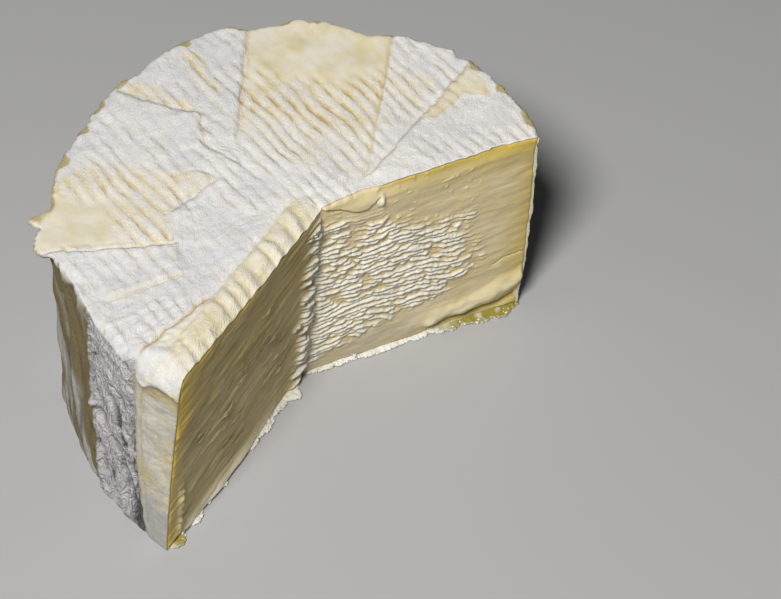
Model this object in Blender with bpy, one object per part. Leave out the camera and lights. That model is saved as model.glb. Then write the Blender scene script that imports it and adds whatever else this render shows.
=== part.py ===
"""A small triple-cream cheese: a low soft drum with a wide wedge cut out of it.

The drum's axis is vertical and its base is flat on Z = 0. The open wedge faces -Y and +X. The box round the
cheese is centred on the origin. Lengths are in metres and angles are in degrees, anticlockwise from +X.
"""

import math

import bmesh
import bpy
import numpy as np
from mathutils import Vector, noise

# Driving dimensions of the drum.
HEIGHT = 0.0498
DRUM_AXIS = Vector((0.002797, -0.002228, 0.0))
RIM_ROUNDING = 0.0013
FRONT_ROUNDING = 0.0045
BASE_ROUNDING = 0.0008
FRONT_ANGLE = 238
FRONT_HALF_WIDTH = 22
BARREL = 0.0006
RIM_FLARE = 0.0005
FLARE_DEPTH = 0.0030
SIDE_LUMP_DEPTH = 0.0004
SIDE_LUMP = 0.22

# The rim's outline: paper folds leave it a blunt polygon. Angle, radius.
RIM_OUTLINE = (
    (20, 0.0458), (28, 0.0466), (35, 0.0468), (55, 0.0472), (66, 0.0460), (75, 0.0443), (92, 0.0472),
    (104, 0.0462), (111, 0.0482), (122, 0.0472), (134, 0.0456), (140, 0.0462), (155, 0.0446), (170, 0.0454),
    (181, 0.0447), (190, 0.0462), (201, 0.0458), (210, 0.0448), (217, 0.0450), (228, 0.0462), (242, 0.0458),
    (300, 0.0455),
)  # fmt: skip

# The base's outline, a little wider than the rim at the front.
BASE_OUTLINE = (
    (20, 0.0443), (60, 0.0452), (110, 0.0458), (150, 0.0462), (183, 0.0470), (200, 0.0466), (216, 0.0468),
    (230, 0.0480), (240, 0.0490), (262, 0.0484), (330, 0.0450),
)  # fmt: skip

# Thin lips of rind that a fold pinched out of the rim. Angle, half width, reach.
RIM_LIPS = ((186.0, 4.4, 0.0036), (195.0, 4.4, 0.0033))
LIP_DEPTH = 0.0024
LIP_SPAN = (178, 204)

# Hollows that the wrapping pressed into the side. First and last angle, middle and half height as shares of
# the height, depth, and skew: above 1 the deepest line lies nearer the last angle.
SIDE_HOLLOWS = (
    (184, 216, 0.60, 0.48, 0.0030, 1.1),
    (216, 232, 0.50, 0.60, 0.0006, 1.0),
    (24, 50, 0.52, 0.52, 0.0021, 0.8),
    (55, 86, 0.46, 0.55, 0.0014, 1.7),
    (93, 120, 0.55, 0.50, 0.0020, 0.7),
    (122, 152, 0.50, 0.54, 0.0016, 1.6),
    (156, 180, 0.48, 0.48, 0.0012, 1.0),
)
CREASES = ((233, 0.0007), (153.5, 0.0006), (90, 0.0006), (52.5, 0.0006))
CREASE_HALF_WIDTH = 2.4

# Folds in the rind of the top, as plan lines: the rind steps up to the left of each line, seen along it.
TOP_FOLDS = (
    (Vector((-0.0124, 0.0150)), Vector((-0.0117, 0.0460)), -0.0004),
    (Vector((0.0110, 0.0054)), Vector((0.0160, 0.0420)), -0.0004),
    (Vector((0.0126, 0.0072)), Vector((0.0300, 0.0340)), -0.0005),
    (Vector((-0.0445, -0.0132)), Vector((-0.0225, -0.0106)), 0.0006),
    (Vector((-0.0351, 0.0270)), Vector((-0.0185, 0.0150)), 0.0004),
    (Vector((-0.0329, -0.0234)), Vector((-0.0198, -0.0171)), 0.0004),
)
FOLD_WIDTH = 0.0012
FOLD_FADE = 0.0090
FOLD_END = 0.0020

# The slow swells of the top: height and lump size.
TOP_SWELLS = ((0.0004, 0.030), (0.0002, 0.009))
TOP_DROP = 0.0003

# The two knife cuts, as plan points from the drum's axis: both lean, so each has a top and a base line.
APEX_TOP = Vector((0.0034, -0.0021))
APEX_BASE = Vector((-0.0017, -0.0006))
RIGHT_TOP = Vector((0.0423, 0.0154))
RIGHT_BASE = Vector((0.0407, 0.0175))
LEFT_TOP = Vector((-0.0190, -0.0408))
LEFT_BASE = Vector((-0.0244, -0.0402))
CUT_OVERRUN = 1.35
CUTTER_CORNER = Vector((0.075, -0.080))
CUTTER_MARGIN = 0.004

# Relief of the cut faces. The flakes of the right cut lie in rows that dip a little towards the rim. Lump
# sizes are shares of the cut's length.
FLAKE_PITCH = 0.0017
FLAKE_DEPTH = 0.0011
FLAKE_LUMP = 0.085
FLAKE_DIP = 0.10
ROW_WAVE = 0.0009
SMEAR_DEPTH = 0.0005
SMEAR_LUMP = 0.28
TORN_LUMP = 0.05
TORN_WIDTH = 0.24
BULGE_REACH = 0.0012
BULGE_PLACE = (0.82, 0.13)
BULGE_HALF_SIZE = (0.34, 0.14)

# Rind of the base that the knife left standing out under each cut: place and half width along the cut, and
# reach.
LEDGE_THICKNESS = 0.0011
RIGHT_LEDGES = (
    (0.12, 0.20, 0.0012), (0.36, 0.18, 0.0015), (0.52, 0.08, 0.0011), (0.66, 0.10, 0.0017),
    (0.80, 0.09, 0.0024), (0.90, 0.08, 0.0029),
)  # fmt: skip
LEFT_LEDGES = (
    (0.10, 0.07, 0.0034), (0.20, 0.10, 0.0022), (0.31, 0.09, 0.0026), (0.43, 0.10, 0.0022),
    (0.57, 0.10, 0.0018), (0.72, 0.10, 0.0018), (0.85, 0.09, 0.0024), (0.97, 0.09, 0.0013),
)  # fmt: skip

# Mesh density.
COLUMN_STEP = 3.0
TOP_RINGS = 13
ROUNDING_STEPS = 3
SIDE_ROWS = 12
RIGHT_CUT_COLUMNS = 30
LEFT_CUT_COLUMNS = 22


def clear_scene():
    for obj in list(bpy.data.objects):
        bpy.data.objects.remove(obj, do_unlink=True)


def smooth_step(low, high, value):
    """0 at low, 1 at high, with soft ends."""
    t = min(max((value - low) / (high - low), 0.0), 1.0)
    return t * t * (3 - 2 * t)


def bump(centre, half_width, value):
    """1 at centre, 0 at half_width away from it, with soft ends."""
    return smooth_step(half_width, 0.0, abs(value - centre))


def angle_gap(a, b):
    """Signed difference of two angles, from -180 to 180."""
    return (a - b + 180) % 360 - 180


def ripple(x, y, z, size, seed):
    """Smooth noise from -1 to 1 with lumps of the given size; each seed gives another pattern."""
    return noise.noise(Vector((x / size + seed, y / size, z / size)))


def outline_radius(outline, angle):
    angles, radii = zip(*outline)
    return float(np.interp(angle, angles, radii, period=360))


def hollow_depth(angle, share):
    """How far the side is pressed in at this angle and share of the height."""
    depth = 0.0
    for first, last, middle, half, deepest, skew in SIDE_HOLLOWS:
        along = (angle - first) / (last - first)
        up = (share - middle) / half
        if 0 < along < 1 and abs(up) < 1:
            depth += deepest * math.sin(math.pi * along**skew) * math.cos(math.pi / 2 * up)
    for at, deepest in CREASES:
        depth += deepest * bump(0, CREASE_HALF_WIDTH, angle_gap(angle, at))
    return depth


def lip_reach(angle, z):
    """How far the pinched lips stand out of the rim."""
    window = smooth_step(HEIGHT - LIP_DEPTH, HEIGHT - LIP_DEPTH / 3, z)
    return window * sum(reach * bump(at, half, angle) for at, half, reach in RIM_LIPS)


def side_radius(angle, z):
    share = z / HEIGHT
    base = outline_radius(BASE_OUTLINE, angle)
    rim = outline_radius(RIM_OUTLINE, angle) - RIM_FLARE
    radius = base * (1 - share) + rim * share + BARREL * math.sin(math.pi * share)
    radius += RIM_FLARE * smooth_step(HEIGHT - FLARE_DEPTH, HEIGHT, z)
    turn = math.radians(angle)
    radius += SIDE_LUMP_DEPTH * ripple(math.cos(turn), math.sin(turn), share, SIDE_LUMP, 3.1)
    return radius - hollow_depth(angle, share) + lip_reach(angle, z)


def rim_rounding(angle):
    """The rim is nearly sharp, but rolls over softly at the front."""
    return RIM_ROUNDING + (FRONT_ROUNDING - RIM_ROUNDING) * bump(FRONT_ANGLE, FRONT_HALF_WIDTH, angle)


def fold_step(x, y):
    """The step of every fold of the top, fading away from its line and past its ends."""
    height = 0.0
    for start, end, step in TOP_FOLDS:
        along = (end - start).normalized()
        run = Vector((x, y)) - start
        ahead = run.dot(along)
        aside = run.dot(Vector((-along.y, along.x)))
        length = (end - start).length
        reach = smooth_step(-FOLD_END, FOLD_END, ahead) * smooth_step(FOLD_END, -FOLD_END, ahead - length)
        side = smooth_step(-FOLD_WIDTH / 2, FOLD_WIDTH / 2, aside * math.copysign(1, step))
        height += abs(step) * reach * side * smooth_step(FOLD_FADE, FOLD_WIDTH, abs(aside))
    return height


def top_swell(x, y):
    """The slow rise and fall of the top, with its folds."""
    swell = sum(height * ripple(x, y, 0.0, size, 7.7) for height, size in TOP_SWELLS)
    return swell + fold_step(x, y) - TOP_DROP


def drum_rings():
    """Each ring from the top's centre to the base, as a function of the angle giving (radius, z)."""
    rings = []
    for step in range(1, TOP_RINGS + 1):

        def top_ring(a, share=step / TOP_RINGS):
            return share * (side_radius(a, HEIGHT) - rim_rounding(a)), HEIGHT

        rings.append(top_ring)
    for step in range(1, ROUNDING_STEPS + 1):
        turn = math.pi / 2 * step / ROUNDING_STEPS

        def rim_ring(a, turn=turn):
            z = HEIGHT - rim_rounding(a) * (1 - math.cos(turn))
            return side_radius(a, z) - rim_rounding(a) * (1 - math.sin(turn)), z

        rings.append(rim_ring)
    for step in range(1, SIDE_ROWS):

        def side_ring(a, share=step / SIDE_ROWS):
            z = (HEIGHT - rim_rounding(a)) * (1 - share) + BASE_ROUNDING * share
            return side_radius(a, z), z

        rings.append(side_ring)
    rings.append(lambda a: (side_radius(a, BASE_ROUNDING), BASE_ROUNDING))
    rings.append(lambda a: (side_radius(a, 0) - BASE_ROUNDING * 0.3, BASE_ROUNDING * 0.3))
    rings.append(lambda a: (side_radius(a, 0) - BASE_ROUNDING, 0.0))
    return rings


def add_strip(bm, upper, lower):
    """A closed band of quads between two rings of the same count."""
    for i in range(len(upper)):
        j = (i + 1) % len(upper)
        bm.faces.new((upper[i], lower[i], lower[j], upper[j]))


def build_drum(rind):
    bm = bmesh.new()
    halves = [COLUMN_STEP / 2 * i for i in range(round(720 / COLUMN_STEP))]
    angles = [a for i, a in enumerate(halves) if i % 2 == 0 or LIP_SPAN[0] < a < LIP_SPAN[1]]
    loops = []
    for ring in drum_rings():
        loop = []
        for angle in angles:
            radius, z = ring(angle)
            x = radius * math.cos(math.radians(angle))
            y = radius * math.sin(math.radians(angle))
            loop.append(bm.verts.new((x, y, z + top_swell(x, y) * (z / HEIGHT) ** 8)))
        loops.append(loop)
    for upper, lower in zip(loops, loops[1:]):
        add_strip(bm, upper, lower)
    top = bm.verts.new((0, 0, HEIGHT + top_swell(0, 0)))
    base = bm.verts.new((0, 0, 0))
    for i in range(len(angles)):
        j = (i + 1) % len(angles)
        bm.faces.new((top, loops[0][i], loops[0][j]))
        bm.faces.new((base, loops[-1][j], loops[-1][i]))
    return finish_mesh(bm, "cheese", rind)


def flake_strength(u, share):
    """Where the middle of the cheese tears into flakes: full near the apex, none by the rind."""
    inward = smooth_step(0.78, 0.52, u + 0.10 * ripple(u, share, 0.0, 0.2, 9.4))
    return inward * smooth_step(1.0, 0.86, share + 0.30 * u) * smooth_step(0.05, 0.14, share - 0.12 * u)


def right_relief(u, share, row):
    """Height of the right cut's relief towards the gap, at a share of its length and of the height."""
    lump = 0.5 + 0.9 * ripple(u, row // 2, 0.0, FLAKE_LUMP, 4.2)
    flake = FLAKE_DEPTH * (lump if row % 2 else -0.4) * flake_strength(u, share)
    smear = SMEAR_DEPTH * ripple(u, share * 2, 0.0, SMEAR_LUMP, 1.6)
    bulge = bump(BULGE_PLACE[0], BULGE_HALF_SIZE[0], u) * bump(BULGE_PLACE[1], BULGE_HALF_SIZE[1], share)
    return flake + smear + BULGE_REACH * bulge


def left_relief(u, share, row):
    """The left cut is smeared by the knife, with torn lumps beside the apex, so it has no rows."""
    lump = max(0.0, ripple(u / 2, share, 0.0, TORN_LUMP, 6.1))
    torn = FLAKE_DEPTH * lump * smooth_step(TORN_WIDTH, 0.0, u)
    return torn + SMEAR_DEPTH * ripple(u, share * 2, 0.0, SMEAR_LUMP, 5.5)


def ledge_reach(ledges, u, z):
    """How far the base rind stands out under the cut."""
    reach = max(reach * bump(at, half, u) for at, half, reach in ledges)
    return reach * smooth_step(LEDGE_THICKNESS * 2, LEDGE_THICKNESS, z)


def cut_wall(bm, apex, columns, end_base, end_top, gap_side, relief, ledges):
    """One wall of the cutter: columns of points outwards from the apex, each row at its own height."""
    wall = [apex]
    for column in range(1, columns + 1):
        u = CUT_OVERRUN * column / columns
        line = []
        for row, corner in enumerate(apex):
            z = corner.co.z
            share = z / HEIGHT
            start = corner.co.xy
            along = end_base.lerp(end_top, share) - start
            toward_gap = Vector((along.y, -along.x)).normalized() * gap_side
            point = start + along * u + toward_gap * (relief(u, share, row) + ledge_reach(ledges, u, z))
            inside = math.sin(math.pi * min(max(share, 0.0), 1.0))
            shift = ROW_WAVE * ripple(u, share, 0.0, FLAKE_LUMP * 2, 8.8) - FLAKE_DIP * u * along.length
            line.append(bm.verts.new((point.x, point.y, z + shift * inside)))
        wall.append(line)
    for first, second in zip(wall, wall[1:]):
        for row in range(len(apex) - 1):
            bm.faces.new((first[row], first[row + 1], second[row + 1], second[row]))
    return wall


def build_cutter(paste):
    """The wedge that was taken out, whose walls carry the torn and smeared relief of the cuts."""
    heights = [-CUTTER_MARGIN, LEDGE_THICKNESS / 3, LEDGE_THICKNESS, LEDGE_THICKNESS * 2]
    while heights[-1] + FLAKE_PITCH / 2 < HEIGHT:
        heights.append(heights[-1] + FLAKE_PITCH / 2)
    heights.append(HEIGHT + CUTTER_MARGIN)
    bm = bmesh.new()
    apex = []
    for z in heights:
        point = APEX_BASE.lerp(APEX_TOP, z / HEIGHT)
        apex.append(bm.verts.new((point.x, point.y, z)))
    right = cut_wall(bm, apex, RIGHT_CUT_COLUMNS, RIGHT_BASE, RIGHT_TOP, 1, right_relief, RIGHT_LEDGES)
    left = cut_wall(bm, apex, LEFT_CUT_COLUMNS, LEFT_BASE, LEFT_TOP, -1, left_relief, LEFT_LEDGES)
    corner = [bm.verts.new((CUTTER_CORNER.x, CUTTER_CORNER.y, z)) for z in heights]
    for row in range(len(heights) - 1):
        for side in (right[-1], left[-1]):
            bm.faces.new((side[row], side[row + 1], corner[row + 1], corner[row]))
    for row in (0, len(heights) - 1):
        cap = [line[row] for line in right] + [corner[row]] + [line[row] for line in reversed(left[1:])]
        bm.faces.new(cap)
    cutter = finish_mesh(bm, "wedge_cutter", paste)
    cutter.hide_render = True
    cutter.display_type = "WIRE"
    return cutter


def finish_mesh(bm, name, material):
    bmesh.ops.recalc_face_normals(bm, faces=bm.faces[:])
    mesh = bpy.data.meshes.new(name)
    bm.to_mesh(mesh)
    bm.free()
    mesh.materials.append(material)
    obj = bpy.data.objects.new(name, mesh)
    obj.location = DRUM_AXIS
    bpy.context.scene.collection.objects.link(obj)
    return obj


def make_material(name, colour, roughness):
    material = bpy.data.materials.new(name)
    material.use_nodes = True
    shader = material.node_tree.nodes["Principled BSDF"]
    shader.inputs["Base Color"].default_value = (*colour, 1.0)
    shader.inputs["Roughness"].default_value = roughness
    shader.inputs["Metallic"].default_value = 0.0
    return material


def cut_wedge(drum, cutter):
    cut = drum.modifiers.new("wedge", "BOOLEAN")
    cut.operation = "DIFFERENCE"
    cut.solver = "EXACT"
    cut.object = cutter
    cut.material_mode = "TRANSFER"


def main():
    clear_scene()
    rind = make_material("bloomy_rind", (0.82, 0.79, 0.70), 0.75)
    paste = make_material("cream_paste", (0.78, 0.68, 0.44), 0.5)
    drum = build_drum(rind)
    drum.data.shade_smooth()
    cut_wedge(drum, build_cutter(paste))


main()
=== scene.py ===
import math

import bmesh
import bpy
import numpy as np
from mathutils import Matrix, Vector


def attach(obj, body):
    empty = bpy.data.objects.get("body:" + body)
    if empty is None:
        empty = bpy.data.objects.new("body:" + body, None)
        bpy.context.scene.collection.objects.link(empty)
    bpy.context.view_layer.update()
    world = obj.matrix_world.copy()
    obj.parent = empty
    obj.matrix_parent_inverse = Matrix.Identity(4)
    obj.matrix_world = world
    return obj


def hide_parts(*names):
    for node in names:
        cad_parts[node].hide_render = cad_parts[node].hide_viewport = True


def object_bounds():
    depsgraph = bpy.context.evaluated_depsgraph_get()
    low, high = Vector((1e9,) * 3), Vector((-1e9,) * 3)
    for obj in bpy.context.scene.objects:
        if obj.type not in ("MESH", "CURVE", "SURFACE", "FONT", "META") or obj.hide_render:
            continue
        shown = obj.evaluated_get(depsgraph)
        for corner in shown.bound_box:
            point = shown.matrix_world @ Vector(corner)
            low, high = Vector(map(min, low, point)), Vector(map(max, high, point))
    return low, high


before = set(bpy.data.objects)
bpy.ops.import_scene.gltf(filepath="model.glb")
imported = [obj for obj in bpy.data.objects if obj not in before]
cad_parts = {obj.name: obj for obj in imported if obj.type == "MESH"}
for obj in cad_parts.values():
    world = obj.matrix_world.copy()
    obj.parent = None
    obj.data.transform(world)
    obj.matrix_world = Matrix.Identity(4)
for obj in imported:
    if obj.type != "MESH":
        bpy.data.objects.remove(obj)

cadBox = [list(corner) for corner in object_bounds()]

# the drum, in metres and degrees, round its own axis; the same form as the solid
drum = dict(
    axis=(0.002797, -0.002228),
    height=0.0498,
    rim=((20, 0.0458), (28, 0.0466), (35, 0.0468), (55, 0.0472), (66, 0.0460), (75, 0.0443), (92, 0.0472),
         (104, 0.0462), (111, 0.0482), (122, 0.0472), (134, 0.0456), (140, 0.0462), (155, 0.0446),
         (170, 0.0454), (181, 0.0447), (190, 0.0462), (201, 0.0458), (210, 0.0448), (217, 0.0450),
         (228, 0.0462), (242, 0.0458), (300, 0.0455)),
    base=((20, 0.0443), (60, 0.0452), (110, 0.0458), (150, 0.0462), (183, 0.0470), (200, 0.0466),
          (216, 0.0468), (230, 0.0480), (240, 0.0490), (262, 0.0484), (330, 0.0450)),
    rimRounding=0.0012, frontRounding=0.0042, baseRounding=0.0008,
    barrel=0.0006, flare=0.0005, flareDepth=0.003, topDrop=0.00035,
    arcRadius=0.0465, noiseRadius=0.046,
)

# the two knife cuts: plan points at the top and at the base, from the drum's axis
cuts = dict(
    apexTop=(0.0034, -0.0021), apexBase=(-0.0017, -0.0006),
    rightTop=(0.0423, 0.0154), rightBase=(0.0407, 0.0175),
    leftTop=(-0.0190, -0.0408), leftBase=(-0.0244, -0.0402),
    # how far the right cut's top edge leans back, along the cut
    bevel=((0, 0), (0.003, 0.0005), (0.0087, 0.0013), (0.012, 0.0008), (0.020, 0.0006), (0.030, 0.0008),
           (0.036, 0.0011), (0.041, 0.0004), (0.044, 0)),
    bevelDepth=0.0034,
)


# small helpers for shapes

def ease(low, high, value):  # 0 at low, 1 at high, soft at both ends
    t = np.clip((value - low) / (high - low), 0, 1)
    return t * t * (3 - 2 * t)


def hill(centre, halfWidth, value):
    return ease(halfWidth, 0, np.abs(value - centre))


def softNoise(size, seed, x, y=0, z=0):  # Perlin noise, about -1 to 1, lumps of the given size
    rng = np.random.default_rng(seed)
    order = rng.permutation(256)
    slopes = rng.normal(size=(256, 3))
    slopes /= np.linalg.norm(slopes, axis=1)[:, None]
    points = np.stack(np.broadcast_arrays(x, y, z), axis=-1) / size + 37.3
    cell = np.floor(points).astype(int)
    inside = points - cell
    fade = inside ** 3 * (inside * (inside * 6 - 15) + 10)
    total = 0
    for corner in np.ndindex(2, 2, 2):
        corner = np.array(corner)
        index = cell + corner
        pick = order[(order[(order[index[..., 0] % 256] + index[..., 1]) % 256] + index[..., 2]) % 256]
        dot = np.sum(slopes[pick] * (inside - corner), axis=-1)
        weight = np.prod(np.where(corner == 1, fade, 1 - fade), axis=-1)
        total = total + weight * dot
    return total * 1.6


def layeredNoise(size, seed, x, y=0, z=0):
    return sum(softNoise(size / 2 ** i, seed + i, x, y, z) / 2 ** i for i in range(3)) / 1.5


def crumple(size, seed, x, y=0, z=0):  # soft pillows with sharp creases between them, 0 in a crease
    return np.abs(softNoise(size, seed, x, y, z)) + 0.45 * np.abs(softNoise(size * 0.43, seed + 1, x, y, z))


crumpleMean = 0.35


def outlineRadius(outline, angle):
    angles, radii = zip(*outline)
    return np.interp(angle, angles, radii, period=360)


def sideOfLine(x, y, start, end):  # how far ahead of start, how far to the left, and the line's length
    along = np.array(end) - np.array(start)
    length = np.hypot(*along)
    along = along / length
    ahead = (x - start[0]) * along[0] + (y - start[1]) * along[1]
    aside = (y - start[1]) * along[0] - (x - start[0]) * along[1]
    return ahead, aside, length


def fromLine(x, y, points):  # distance from a line through several points
    nearest = np.full(np.shape(x), 1.0)
    for start, end in zip(points, points[1:]):
        ahead, aside, length = sideOfLine(x, y, start, end)
        nearest = np.minimum(nearest, np.hypot(ahead - np.clip(ahead, 0, length), aside))
    return nearest


def insideDepth(x, y, corners):  # distance from a closed outline, above 0 inside it
    inside = np.zeros(np.shape(x), bool)
    for (ax, ay), (bx, by) in zip(corners, corners[1:] + corners[:1]):
        crosses = (ay > y) != (by > y)
        inside ^= crosses & (x < (bx - ax) * (y - ay) / (by - ay + 1e-12) + ax)
    nearest = fromLine(x, y, corners + corners[:1])
    return np.where(inside, nearest, -nearest)


# the rind's form

rind = dict(
    columns=410, topRows=104, roundingRows=8, sideRows=110, baseRows=6,
    lips=(0.00015, 0.00035, 0.0006, 0.0010), recess=0.0016,
    # hollows pressed into the side: angles, middle and half height as shares, depth, skew
    hollows=((184, 216, 0.60, 0.48, 0.0030, 1.1), (216, 232, 0.50, 0.60, 0.0006, 1.0),
             (24, 50, 0.52, 0.52, 0.0021, 0.8), (55, 86, 0.46, 0.55, 0.0014, 1.7),
             (93, 120, 0.55, 0.50, 0.0020, 0.7), (122, 152, 0.50, 0.54, 0.0016, 1.6),
             (156, 180, 0.48, 0.48, 0.0012, 1.0)),
    pleats=((153.5, 0.0006, 1.6), (90, 0.0006, 1.6), (52.5, 0.0006, 1.6)),
    ears=((186.0, 3.2, 0.0034), (190.4, 5.6, 0.0019), (194.8, 4.2, 0.0027)), earDepth=0.0015,
    # creases of the side: points as angle and share of the height, depth, half width
    creases=((((218.4, 0.50), (222.9, 0.43), (227.0, 0.33), (230.1, 0.16), (231.0, 0.0)), 0.00190, 0.0022),
             (((224.0, 0.66), (226.5, 0.59), (228.4, 0.50), (230.0, 0.37)), 0.00110, 0.0013),
             (((217.5, 0.80), (222.0, 0.74), (227.0, 0.62)), 0.00070, 0.0009),
             (((216.8, 0.30), (221.0, 0.22), (226.0, 0.08), (227.0, 0.0)), 0.00080, 0.0011),
             (((232.9, 0.97), (232.6, 0.80), (231.7, 0.54), (231.6, 0.24), (232.0, 0.0)), 0.00060, 0.0008),
             (((234.9, 0.88), (234.0, 0.67), (233.6, 0.39), (234.0, 0.10)), 0.00040, 0.0005),
             (((193.0, 0.70), (199.8, 0.56), (204.9, 0.39), (209.0, 0.22), (212.7, 0.05)), 0.00070, 0.0011),
             (((199.0, 0.93), (206.0, 0.70), (211.5, 0.42), (214.5, 0.20)), 0.00035, 0.0010)),
    # depth of the side's wrinkles: front panel, dark panel, the rest, cream panel, edge of the top's skin
    wrinkles=dict(front=0.00225, frontFine=0.00030, frontSwell=0.00045, dark=0.00165, darkFine=0.00020,
                  calm=0.00030, calmFine=0.00010, back=0.00025, byCut=0.00032, streaks=0.00016,
                  cream=0.00030, ridge=0.00045, apronThin=0.00006, apronThick=0.00036, crepe=0.00045),
    # lower edge of the top's skin where it laps over the front of the side
    apron=((216.0, 1.01), (219.0, 0.995), (228.0, 0.982), (232.4, 0.970), (233.6, 0.905), (235.0, 0.885),
           (237.3, 0.908), (239.5, 0.915), (242.0, 0.905), (244.0, 0.880)),
    matPitch=0.0023, matTurn=-37.6, matDepth=0.00020,
    bloomDepth=0.00030, bloomFine=0.00009, smoothSwell=0.00028, cornerDepth=0.00045,
    # the scallops along the left cut: pitch, height, drop at the edge, groove behind them
    rollPitch=0.0034, rollRise=0.00078, rollDrop=0.0012, rollGroove=0.00022,
    # folds of the top: start, end, step up to the left (minus: to the right), groove on the line
    folds=(((-0.0124, 0.0150), (-0.0117, 0.0465), 0.00034, 0.00022),
           ((0.0110, 0.0054), (0.0160, 0.0425), -0.00028, 0.00022),
           ((0.0124, 0.0068), (0.0302, 0.0345), -0.00040, 0.00028),
           ((-0.0460, -0.0133), (-0.0222, -0.0104), -0.00060, 0.00030),
           ((-0.0351, 0.0270), (-0.0196, 0.0212), -0.00038, 0.00020),
           ((-0.0198, 0.0216), (-0.0184, 0.0135), -0.00036, 0.00018),
           ((-0.0186, 0.0136), (-0.0117, 0.0081), -0.00022, 0.00014),
           ((-0.0329, -0.0234), (-0.0198, -0.0171), 0.00036, 0.00022),
           ((-0.0262, 0.0385), (-0.0150, 0.0215), 0.00024, 0.00016),
           ((-0.0232, -0.0030), (-0.0152, 0.0048), -0.00036, 0.00014),
           ((-0.0225, -0.0104), (-0.0232, -0.0030), -0.00036, 0.00014),
           ((-0.0262, -0.0346), (-0.0160, -0.0232), -0.00045, 0.00050)),
    foldFade=0.0075,
    # butter-yellow patches of the top, where the bloom is thin
    backPanel=((-0.0123, 0.0150), (-0.0117, 0.0480), (0.0170, 0.0480), (0.0142, 0.0240), (0.0112, 0.0060),
               (-0.0020, 0.0085)),
    leftPatch=((-0.0396, 0.0117), (-0.0480, -0.0010), (-0.0490, -0.0130), (-0.0225, -0.0106),
               (-0.0238, -0.0032), (-0.0188, 0.0018), (-0.0150, 0.0052), (-0.0190, 0.0070), (-0.0228, 0.0064),
               (-0.0315, 0.0108)),
    rightPatch=((0.0300, 0.0342), (0.0335, 0.0305), (0.0340, 0.0262), (0.0290, 0.0262), (0.0270, 0.0228),
                (0.0243, 0.0200), (0.0206, 0.0194)),
    middlePatch=((0.0151, 0.0343), (0.0265, 0.0314), (0.0189, 0.0173), (0.0129, 0.0166)),
    creaseStrip=((-0.0345, 0.0296), (-0.0305, 0.0300), (-0.0205, 0.0236), (-0.0200, 0.0216),
                 (-0.0330, 0.0264)),
    rimStrip=((-0.0245, 0.0385), (-0.0205, 0.0375), (-0.0160, 0.0275), (-0.0170, 0.0262)),
    frontPatch=((-0.0262, -0.0346), (-0.0160, -0.0232), (-0.0128, -0.0236), (-0.0165, -0.0300),
                (-0.0215, -0.0352)),
    # middles and half widths of the yellowed places on the rim
    rimPatches=((28.0, 6.0), (38.0, 2.6), (47.0, 3.2), (88.0, 1.6), (95.5, 2.8), (108.0, 4.4), (120.5, 2.6),
                (139.5, 4.2), (148.5, 3.2), (157.5, 2.6), (168.0, 3.0)),
    highest=0.05015,
)


def skinRadius(angle, z):
    share = np.clip(z / drum["height"], 0, 1)
    radius = outlineRadius(drum["base"], angle) * (1 - share)
    radius = radius + (outlineRadius(drum["rim"], angle) - drum["flare"]) * share
    radius += drum["barrel"] * np.sin(np.pi * share)
    radius += drum["flare"] * ease(drum["height"] - drum["flareDepth"], drum["height"], z)
    for first, last, middle, half, deepest, skew in rind["hollows"]:
        along = np.clip((angle - first) / (last - first), 0, 1)
        up = np.clip((share - middle) / half, -1, 1)
        radius -= deepest * np.sin(np.pi * along ** skew) * np.cos(np.pi / 2 * up)
    for at, deepest, halfWidth in rind["pleats"]:
        radius -= deepest * hill(at, halfWidth, angle)
        radius += deepest * 0.5 * hill(at + 2.2 * halfWidth, 1.4 * halfWidth, angle)
    window = ease(drum["height"] - rind["earDepth"], drum["height"] - rind["earDepth"] / 3, z)
    ragged = 1 + 0.16 * softNoise(1.1, 9, angle)
    for at, half, reach in rind["ears"]:
        radius += window * reach * hill(at, half, angle) * ragged
    return radius


def onSkin(angle):  # distance round the side, and the place in plan, for its noises
    turn = np.radians(angle)
    return drum["arcRadius"] * turn, drum["noiseRadius"] * np.cos(turn), drum["noiseRadius"] * np.sin(turn)


def leaning(arc, z, lean, stretch):  # coordinates across and along lines that run down to the right
    a = math.radians(lean)
    return arc * math.sin(a) + z * math.cos(a), (arc * math.cos(a) - z * math.sin(a)) / stretch


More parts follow.
